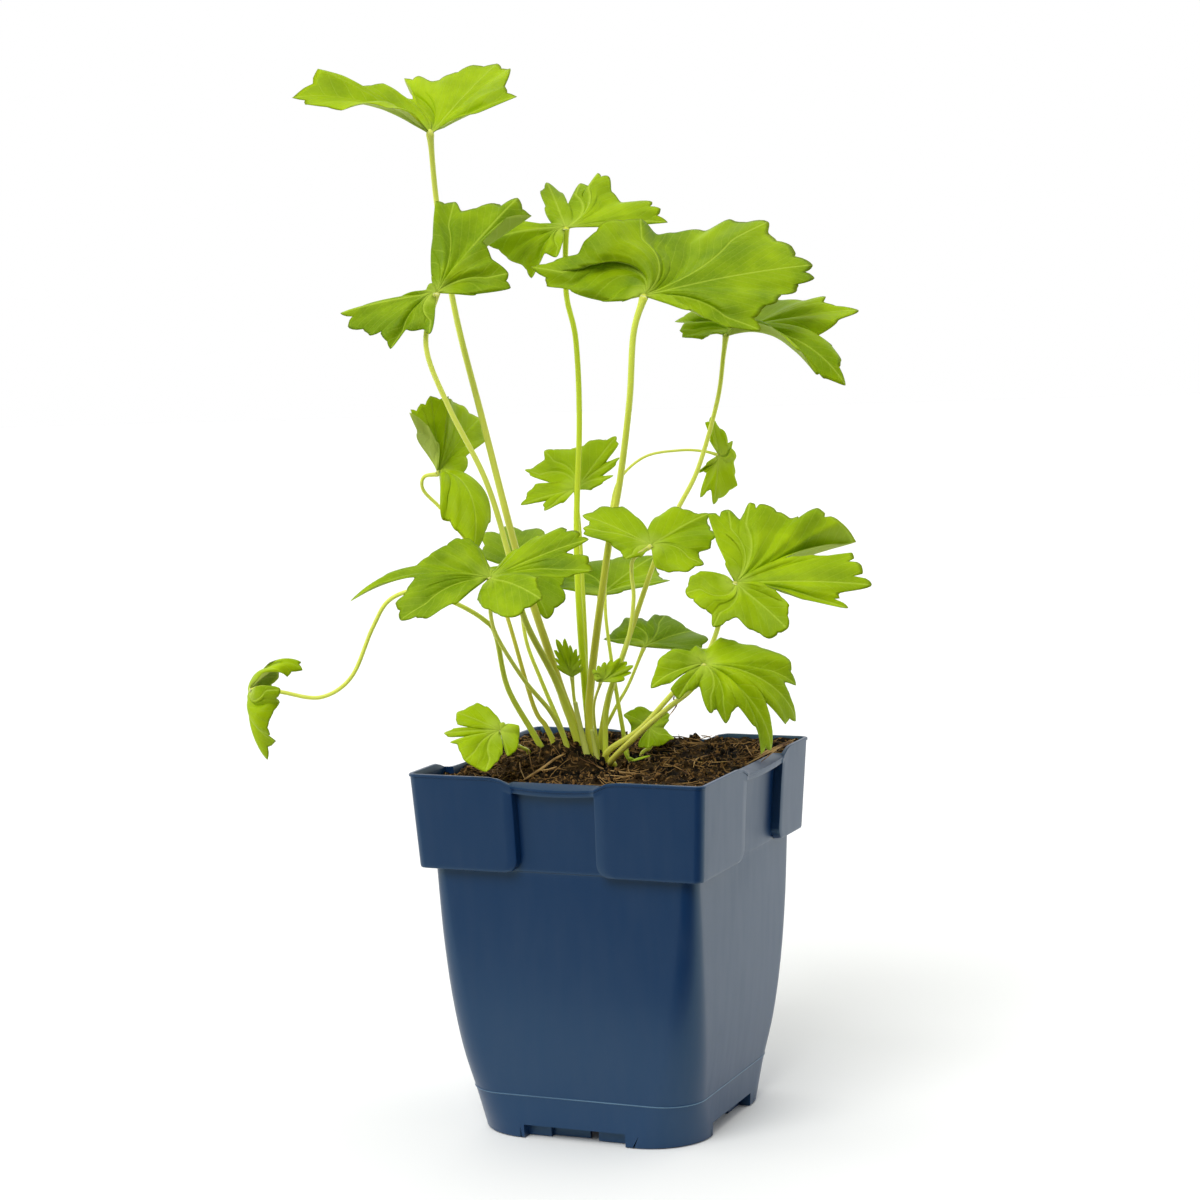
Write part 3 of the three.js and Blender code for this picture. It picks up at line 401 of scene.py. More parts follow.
def make_piece(name, points, faces, materials, kinds=None, marks=None):
    """A mesh object from points in millimetres and arrays of faces. kinds gives each array's material,
    and marks are named numbers for each point."""
    mesh = bpy.data.meshes.new(name)
    corners = np.concatenate([face.ravel() for face in faces])
    sizes = np.concatenate([np.full(len(face), face.shape[1]) for face in faces])
    mesh.vertices.add(len(points))
    mesh.vertices.foreach_set("co", (points / 1000).astype(np.float32).ravel())
    mesh.loops.add(len(corners))
    mesh.loops.foreach_set("vertex_index", corners.astype(np.int32))
    mesh.polygons.add(len(sizes))
    mesh.polygons.foreach_set("loop_start", (np.cumsum(sizes) - sizes).astype(np.int32))
    if kinds:
        kind = np.concatenate([np.full(len(face), kind) for face, kind in zip(faces, kinds)])
        mesh.polygons.foreach_set("material_index", kind.astype(np.int32))
    mesh.update(calc_edges=True)
    mesh.validate()
    mesh.shade_smooth()
    for key, values in (marks or {}).items():
        mesh.attributes.new(key, "FLOAT", "POINT").data.foreach_set("value", values.astype(np.float32))
    for material in materials:
        mesh.materials.append(material)
    piece = bpy.data.objects.new(name, mesh)
    bpy.context.collection.objects.link(piece)
    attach(piece, "root")
    return piece


def blue_plastic():
    """Satin blue plastic, with a thin haze of dust in upright streaks, and fine scuffs in its gloss."""
    material = principled(
        "blue_plastic", POT_BLUE, 0.34, Specular_IOR_Level=0.62, Specular_Tint=(0.64, 0.95, 1.0, 1.0)
    )
    tree = material.node_tree
    shader = tree.nodes["Principled BSDF"]
    place = add_node(tree, "ShaderNodeTexCoord").outputs["Object"]
    upright = add_node(tree, "ShaderNodeMapping", [("Vector", place), ("Scale", (1, 1, 0.16))])
    streaks = add_node(
        tree, "ShaderNodeTexNoise", [("Vector", upright.outputs[0]), ("Scale", 260), ("Detail", 5)]
    )
    clouds = add_node(tree, "ShaderNodeTexNoise", [("Vector", place), ("Scale", 28), ("Detail", 4)])
    dust = add_node(
        tree, "ShaderNodeMath", [(0, streaks.outputs[0]), (1, clouds.outputs[0])], operation="MULTIPLY"
    )
    veil = add_node(
        tree, "ShaderNodeMapRange", [("Value", dust.outputs[0]), (1, 0.12), (2, 0.42), (3, 0.0), (4, 0.05)]
    )
    colour = add_node(
        tree, "ShaderNodeMix", [("Factor", veil.outputs[0]), (6, POT_BLUE), (7, POT_HAZE)], data_type="RGBA"
    )
    gloss = add_node(
        tree, "ShaderNodeMapRange", [("Value", dust.outputs[0]), (1, 0.1), (2, 0.45), (3, 0.3), (4, 0.4)]
    )
    # a pale band is painted along the edge of the step above the foot: partly a painted highlight on the
    # edge, partly rubbed wear
    height = add_node(tree, "ShaderNodeSeparateXYZ", [(0, place)])
    on_step = add_node(
        tree,
        "ShaderNodeMath",
        [(0, height.outputs["Z"]), (1, STEP_EDGE / 1000), (2, STEP_EDGE_REACH / 1000)],
        operation="COMPARE",
    )
    edge_highlight_and_wear = add_node(
        tree, "ShaderNodeMath", [(0, on_step.outputs[0]), (1, clouds.outputs[0])], operation="MULTIPLY"
    )
    highlighted_and_worn = add_node(
        tree,
        "ShaderNodeMix",
        [("Factor", edge_highlight_and_wear.outputs[0]), (6, colour.outputs[2]), (7, POT_EDGE_HIGHLIGHT_AND_WEAR)],
        data_type="RGBA",
    )
    tree.links.new(highlighted_and_worn.outputs[2], shader.inputs["Base Color"])
    tree.links.new(gloss.outputs[0], shader.inputs["Roughness"])
    return material


def box_mesh(name, low, high, turns):
    """Boxes in one mesh: the box between two corners, turned about Z by each of the angles."""
    corner = np.array([[i, j, k] for i in (0, 1) for j in (0, 1) for k in (0, 1)])
    points = np.where(corner == 1, high, low)
    sides = np.array([[0, 1, 3, 2], [4, 6, 7, 5], [0, 4, 5, 1], [2, 3, 7, 6], [0, 2, 6, 4], [1, 5, 7, 3]])
    mesh = bpy.data.meshes.new(name)
    turned = np.concatenate([points @ turn_matrix(turn, "Z").T for turn in turns]) / 1000
    faces = np.concatenate([sides + 8 * i for i in range(len(turns))])
    mesh.from_pydata(turned.tolist(), [], faces.tolist())
    return mesh


def cut_out(piece, cutter_mesh):
    """The piece's mesh with the cutter's solid taken out of it."""
    cutter = bpy.data.objects.new("cutter", cutter_mesh)
    bpy.context.collection.objects.link(cutter)
    cut = piece.modifiers.new("cut", "BOOLEAN")
    cut.object = cutter
    cut.solver = "MANIFOLD"
    bpy.context.view_layer.update()
    seen = piece.evaluated_get(bpy.context.evaluated_depsgraph_get())
    whole = piece.data
    piece.data = bpy.data.meshes.new_from_object(seen)
    piece.modifiers.clear()
    bpy.data.objects.remove(cutter)
    bpy.data.meshes.remove(cutter_mesh)
    bpy.data.meshes.remove(whole)


profile = pot_rows()
points, faces = closed_skin(square_rings(profile))
pot = make_piece("pot_shell", points, faces, [blue_plastic()])
quarter_turns = [side * math.pi / 2 for side in range(4)]
drains = box_mesh(
    "drains",
    (-DRAIN_LENGTH / 2, -DRAIN_PLACE - DRAIN_WIDTH / 2, DRAIN_HEIGHTS[0]),
    (DRAIN_LENGTH / 2, -DRAIN_PLACE + DRAIN_WIDTH / 2, DRAIN_HEIGHTS[1]),
    quarter_turns,
)
cut_out(pot, drains)
pot.data.set_sharp_from_angle(angle=math.radians(35))
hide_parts("pot")

# The peat
# Coarse brown peat that the plant was potted in: it fills the pot to a few millimetres under the rim, is
# heaped around the crown, and has settled in the front left corner. Loose crumbs and fibres lie on it.
SOIL_LEVEL = 126.5
SOIL_REAR_RISE = 2.8
SOIL_REAR_START = -20
SOIL_REAR_RUN = 65
SOIL_CORNER_DIP = 4.5
SOIL_CORNER = (-72.0, -29.3)
SOIL_CORNER_SPREAD = 14
MOUND_PLACE = (-18.0, -1.0)
MOUND_HEIGHT = 9.5
MOUND_SPREAD = 10.0
SOIL_BOTTOM = 7.2
SOIL_IN_WALL = 0.25
CRUMB_COUNT = 1500
FIBRE_COUNT = 420
PEAT_DARK = linear(12, 8, 4)
PEAT_MIDDLE = linear(56, 40, 18)
PEAT_LIGHT = linear(134, 100, 56)
FIBRE_LIGHT = linear(160, 124, 74)
STRAW = linear(190, 154, 98)
BARK = linear(92, 62, 34)
# Long strands and twigs: radius, then places to the right of the crown, away from the front and above
# the peat
STRANDS = [
    (0.5, [(-31.5, -30, 0.8), (-28, -22, 1), (-22, -15, 1.2), (-17, -11.5, 1)]),
    (0.29, [(-26, -20, 1.2), (-23, -22, 2), (-20, -22.5, 3)]),
    (0.22, [(-9, -12, 1), (-2.5, -20, 1.4), (11, -25, 0.8)]),
    (0.22, [(18, -6, 0.8), (22, -17, 1.6), (26.5, -29, 0.8)]),
    (0.18, [(27, 0, 0.8), (33, -8, 1.2), (49, -4, 1)]),
    (0.22, [(-33.5, 0, 1), (-33, -16, 2), (-31, -30, 1)]),
    (0.18, [(-30, -14, 7), (-29, -18, 3), (-28, -20, 0.5)]),
    (0.18, [(-6, -26, 0.5), (-3, -29, 1.5), (4, -30, 1)]),
    (0.14, [(-12, -14, 2), (-9, -17, 2.5), (-5, -16, 1)]),
    (0.22, [(38, 8, 1), (30, -2, 1.5), (28, -14, 0.8)]),
    (0.32, [(46, -14, 1), (56, -5, 4), (65, 10, 4)]),
    (0.25, [(50, -10, 3), (58, 0, 4.4), (66, 14, 4)]),
    (0.22, [(44, -8, 1.5), (56, -2, 4), (62, 5, 4.5)]),
    (0.22, [(52, -16, 2.6), (58, -4, 4.4), (64, 9, 5)]),
    (0.25, [(24.5, -26, 31), (21.5, -25, 27.5), (22.5, -24.5, 25), (20, -25, 21.5)]),
]


def smoothstep(t):
    """The cubic that runs from 0 to 1 and is level at both ends."""
    t = np.clip(t, 0, 1)
    return t * t * (3 - 2 * t)


def lumps(x, y, size, seed):
    """Smooth bumps from -1 to 1: random values on a square lattice of the given size, blended smoothly."""
    values = np.random.default_rng(seed).uniform(-1, 1, (257, 257))
    u, v = np.asarray(x) / size + 128, np.asarray(y) / size + 128
    i, j = np.floor(u).astype(int), np.floor(v).astype(int)
    s, t = smoothstep(u - i), smoothstep(v - j)
    low = values[i, j] * (1 - s) + values[i + 1, j] * s
    high = values[i, j + 1] * (1 - s) + values[i + 1, j + 1] * s
    return low * (1 - t) + high * t


def soil_height(x, y):
    """The peat's mean height: level, rising to the rear, sunk at one corner and heaped at the crown."""
    along, away = (np.stack([x, y], axis=-1) @ PLANT_AXES[:2, :2]).transpose(-1, *range(np.ndim(x)))
    corner = ((along - SOIL_CORNER[0]) ** 2 + (away - SOIL_CORNER[1]) ** 2) / (2 * SOIL_CORNER_SPREAD**2)
    heap = ((along - MOUND_PLACE[0]) ** 2 + (away - MOUND_PLACE[1]) ** 2) / (2 * MOUND_SPREAD**2)
    return (
        SOIL_LEVEL
        + SOIL_REAR_RISE * smoothstep((away - SOIL_REAR_START) / SOIL_REAR_RUN)
        - SOIL_CORNER_DIP * np.exp(-corner)
        + MOUND_HEIGHT * np.exp(-heap)
    )


def peat_surface(x, y):
    """The mean height with the clods and grains of the peat's skin on it."""
    clods = 1.3 * lumps(x, y, 7, 1) + 1.2 * lumps(x, y, 3.1, 2)
    grains = 0.6 * lumps(x, y, 1.5, 3) + 0.4 * lumps(x, y, 0.8, 4)
    return soil_height(x, y) + clods + grains - 0.5


def effect_group(name, inputs, outputs):
    """An effect for several materials: a node group's tree, what it is given, and the node that it fills.
    Inputs and outputs are pairs of a name and a kind of socket."""
    group = bpy.data.node_groups.new(name, "ShaderNodeTree")
    for way, sockets in (("INPUT", inputs), ("OUTPUT", outputs)):
        for key, kind in sockets:
            group.interface.new_socket(key, in_out=way, socket_type="NodeSocket" + kind)
    return group, add_node(group, "NodeGroupInput").outputs, add_node(group, "NodeGroupOutput")


def peat_grain_group():
    """Dark peat between lighter strands and grains, as a colour and a height. More Light raises the share
    of light grains."""
    group, given, out = effect_group(
        "peat_grain", [("More Light", "Float")], [("Colour", "Color"), ("Height", "Float")]
    )
    place = add_node(group, "ShaderNodeTexCoord").outputs["Object"]
    fine = add_node(group, "ShaderNodeTexNoise", [("Vector", place), ("Scale", 620), ("Detail", 6)])
    broad = add_node(group, "ShaderNodeTexNoise", [("Vector", place), ("Scale", 130), ("Detail", 4)])
    dark = add_node(
        group, "ShaderNodeMapRange", [("Value", broad.outputs[0]), (1, 0.42), (2, 0.6), (3, 0), (4, 1)]
    )
    grains = add_node(
        group, "ShaderNodeMath", [(0, fine.outputs[0]), (1, given["More Light"])], operation="ADD"
    )
    light = add_node(
        group, "ShaderNodeMapRange", [("Value", grains.outputs[0]), (1, 0.62), (2, 0.74), (3, 0), (4, 1)]
    )
    ground = add_node(
        group,
        "ShaderNodeMix",
        [("Factor", dark.outputs[0]), (6, PEAT_DARK), (7, PEAT_MIDDLE)],
        data_type="RGBA",
    )
    colour = add_node(
        group,
        "ShaderNodeMix",
        [("Factor", light.outputs[0]), (6, ground.outputs[2]), (7, PEAT_LIGHT)],
        data_type="RGBA",
    )
    group.links.new(colour.outputs[2], out.inputs["Colour"])
    group.links.new(fine.outputs[0], out.inputs["Height"])
    return group


def peat_material(name, grain, more_light):
    """Dull peat with its grain in colour and relief, and more or fewer light grains."""
    material = principled(name, PEAT_MIDDLE, 0.95, Specular_IOR_Level=0.15)
    tree = material.node_tree
    shader = tree.nodes["Principled BSDF"]
    peat = add_node(tree, "ShaderNodeGroup", [("More Light", more_light)], node_tree=grain)
    dents = add_node(
        tree, "ShaderNodeBump", [("Height", peat.outputs["Height"]), ("Distance", 0.0012), ("Strength", 1.0)]
    )
    tree.links.new(peat.outputs["Colour"], shader.inputs["Base Color"])
    tree.links.new(dents.outputs[0], shader.inputs["Normal"])
    return material


def soil_rings():
    """Rings from the middle of the underside out to the pot's inner wall, up it, and in over the top. The
    sides lie a little inside the pot's wall, and the top's outline grows plain a few millimetres in."""
    wall = profile[(profile[:, 8] > 0) & (profile[:, 7] == 0)][::-1].copy()
    wall[:, 0] = np.maximum(wall[:, 0], SOIL_BOTTOM)
    wall[:, 1] += SOIL_IN_WALL
    sides = square_rings(wall)
    edge = wall[-1:].copy()
    edge[:, 1] = collar_half(SOIL_LEVEL) - WALL + SOIL_IN_WALL
    plain = edge.copy()
    plain[:, [1, 2, 6]] = edge[0, 1] - 5, 4, 0
    edge, plain = (square_rings(rows)[0, :, :2] for rows in (edge, plain))
    blend = np.linspace(0, 1, 20)[:, None, None]
    shrink = np.linspace(0.99, 0.012, 150)[:, None, None]
    over = np.concatenate([edge * (1 - blend) + plain * blend, plain * shrink])
    over = np.stack([over, (over + np.roll(over, -1, axis=1)) / 2], axis=2).reshape(len(over), -1, 2)
    sides = np.stack([sides, (sides + np.roll(sides, -1, axis=1)) / 2], axis=2).reshape(len(sides), -1, 3)
    height = peat_surface(over[..., 0], over[..., 1])
    return np.concatenate([sides, np.concatenate([over, height[..., None]], axis=-1)])


def tubes(paths, radii, sides):
    """Many closed tubes at once: rings around each path, square to its own run, with a point at each end.
    paths is tubes by points by 3 and radii is tubes by points."""
    count, length, _ = paths.shape
    along = np.gradient(paths, axis=1)
    along /= np.linalg.norm(along, axis=-1, keepdims=True)
    helper = np.where(np.abs(along[..., 2:]) > 0.8, [1.0, 0, 0], [0, 0, 1.0])
    side = np.cross(along, helper)
    side /= np.linalg.norm(side, axis=-1, keepdims=True)
    other = np.cross(side, along)
    angle = 2 * math.pi * np.arange(sides) / sides
    ring = side[..., None, :] * np.cos(angle)[:, None] + other[..., None, :] * np.sin(angle)[:, None]
    rings = paths[..., None, :] + radii[..., None, None] * ring
    first = paths[:, :1] - along[:, :1] * radii[:, :1, None]
    points = np.concatenate([rings.reshape(count, -1, 3), first, paths[:, -1:]], axis=1)
    step = points.shape[1]
    loop = np.arange(sides)
    last = (length - 1) * sides + loop
    start = np.arange(count)[:, None, None] * step
    quads = (grid_quads(length, sides, True)[:, ::-1] + start).reshape(-1, 4)
    ends = np.concatenate([fan(step - 2, loop), fan(step - 1, last[::-1])])
    return points.reshape(-1, 3), [quads, (ends + start).reshape(-1, 3)]


def scatter_places(draw, count, reach):
    """Random places on the peat, inside a square of the given half width."""
    return draw.uniform(-reach, reach, (count, 2))


def crumb_mesh(draw):
    """Crumbs: small balls of six sides, each squashed, stretched and turned at random."""
    x, y = scatter_places(draw, CRUMB_COUNT, 50).T
    size = 0.35 + 1.6 * draw.power(0.3, CRUMB_COUNT)
    turn = 2 * math.pi * np.arange(6) / 6
    rise = np.radians([-50, 0, 50])
    ball = np.stack(
        [
            np.cos(rise)[:, None] * np.cos(turn),
            np.cos(rise)[:, None] * np.sin(turn),
            np.sin(rise)[:, None] + 0 * turn,
        ],
        axis=-1,
    ).reshape(-1, 3)
    ball = np.concatenate([ball, [[0, 0, -1], [0, 0, 1]]])
    rough = ball[None] * draw.uniform(0.65, 1.25, (CRUMB_COUNT, len(ball), 1))
    rough = rough * draw.uniform(0.6, 1.1, (CRUMB_COUNT, 1, 3)) * size[:, None, None]
    angle = draw.uniform(0, 2 * math.pi, CRUMB_COUNT)[:, None]
    across = rough[..., 0] * np.cos(angle) - rough[..., 1] * np.sin(angle)
    away = rough[..., 0] * np.sin(angle) + rough[..., 1] * np.cos(angle)
    height = peat_surface(x, y) + 0.35 * size
    points = np.stack([across + x[:, None], away + y[:, None], rough[..., 2] + height[:, None]], axis=-1)
    start = np.arange(CRUMB_COUNT)[:, None, None] * len(ball)
    quads = (grid_quads(3, 6, True) + start).reshape(-1, 4)
    loop = np.arange(6)
    ends = np.concatenate([fan(18, loop[::-1]), fan(19, loop + 12)])
    return points.reshape(-1, 3), [quads, (ends + start).reshape(-1, 3)]


def fibre_mesh(draw):
    """Fibres: thin tubes that lie on the peat along a bent line, with one end lifted a little."""
    x, y = scatter_places(draw, FIBRE_COUNT, 51).T
    length = 3 + 15 * draw.power(0.5, FIBRE_COUNT)
    angle = draw.uniform(0, 2 * math.pi, FIBRE_COUNT)
    bend = draw.normal(0, 0.4, FIBRE_COUNT)
    share = np.linspace(-0.5, 0.5, 9)
    heading = angle[:, None] + bend[:, None] * share
    across = x[:, None] + length[:, None] * share * np.cos(heading)
    away = y[:, None] + length[:, None] * share * np.sin(heading)
    across, away = np.clip(across, -53, 53), np.clip(away, -53, 53)
    lift = draw.uniform(0, 2.2, FIBRE_COUNT)[:, None] * np.clip(share + 0.1, 0, 1) ** 1.5
    height = np.maximum(soil_height(across, away), peat_surface(across, away)) + 0.25 + lift
    paths = np.stack([across, away, height], axis=-1)
    thick = draw.uniform(0.09, 0.26, FIBRE_COUNT)[:, None] * (1 - 1.4 * np.abs(share) ** 2)
    return tubes(paths, thick, 4)


def curve_through(points, share):
    """Places at shares of a smooth curve through points: on each stretch a cubic whose slope at a point is
    half the way between its neighbours, with the ends carried straight on."""
    points = np.array(points, float)
    held = np.concatenate([2 * points[:1] - points[1:2], points, 2 * points[-1:] - points[-2:-1]])
    at = share * (len(points) - 1)
    i = np.minimum(at.astype(int), len(points) - 2)
    t = (at - i)[:, None]
    a, b, c, d = held[i], held[i + 1], held[i + 2], held[i + 3]
    bend = 2 * a - 5 * b + 4 * c - d
    twist = 3 * b - a - 3 * c + d
    return b + 0.5 * t * (c - a + t * (bend + t * twist))


def strand_mesh():
    """Strands: tubes along the curves through their points, thin at both ends, over the peat."""
    paths = np.stack([curve_through(points, np.linspace(0, 1, 24)) for _, points in STRANDS])
    level = paths * [1, 1, 0] @ PLANT_AXES.T
    lift = paths[..., 2] + soil_height(level[..., 0], level[..., 1])
    bow = 1 - 0.6 * np.linspace(-1, 1, 24) ** 4
    thick = np.array([radius for radius, _ in STRANDS])[:, None] * bow
    return tubes(level + lift[..., None] * [0, 0, 1], thick, 6)


def dry_fibre_group():
    """Dry plant fibre, lighter and darker from place to place, as a colour between the two given."""
    group, given, out = effect_group(
        "dry_fibre", [("Dark", "Color"), ("Light", "Color")], [("Colour", "Color")]
    )
    place = add_node(group, "ShaderNodeTexCoord").outputs["Object"]
    patches = add_node(group, "ShaderNodeTexNoise", [("Vector", place), ("Scale", 90), ("Detail", 2)])
    mixed = add_node(
        group, "ShaderNodeMapRange", [("Value", patches.outputs[0]), (1, 0.38), (2, 0.62), (3, 0), (4, 1)]
    )
    colour = add_node(
        group,
        "ShaderNodeMix",
        [("Factor", mixed.outputs[0]), (6, given["Dark"]), (7, given["Light"])],
        data_type="RGBA",
    )
    group.links.new(colour.outputs[2], out.inputs["Colour"])
    return group


def strand_material(name, fibre, dark, light):
    """Dry plant fibre in its own two colours."""
    material = principled(name, light, 0.8, Specular_IOR_Level=0.2)
    tree = material.node_tree
    mixed = add_node(tree, "ShaderNodeGroup", [("Dark", dark), ("Light", light)], node_tree=fibre)
    tree.links.new(mixed.outputs["Colour"], tree.nodes["Principled BSDF"].inputs["Base Color"])
    return material


grain, fibre = peat_grain_group(), dry_fibre_group()
draw = np.random.default_rng(11)
for name, (points, faces), material in (
    ("peat_bed", closed_skin(soil_rings()), peat_material("peat", grain, 0.06)),
    ("peat_crumbs", crumb_mesh(draw), peat_material("loose_peat", grain, 0.12)),
    ("peat_fibres", fibre_mesh(draw), strand_material("fibres", fibre, PEAT_MIDDLE, FIBRE_LIGHT)),
    ("peat_strands", strand_mesh(), strand_material("strands", fibre, BARK, STRAW)),
):
    piece = make_piece(name, points, faces, [material])
    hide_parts("soil")

# The leaves
# Soft green leaves on long upright stalks that all rise from the crown. Each blade is a thin sheet around
# the stalk's tip, cut into toothed lobes, sunk along its veins and paler underneath.
CROWN_HEIGHT = 125.2
BLADE = 0.4
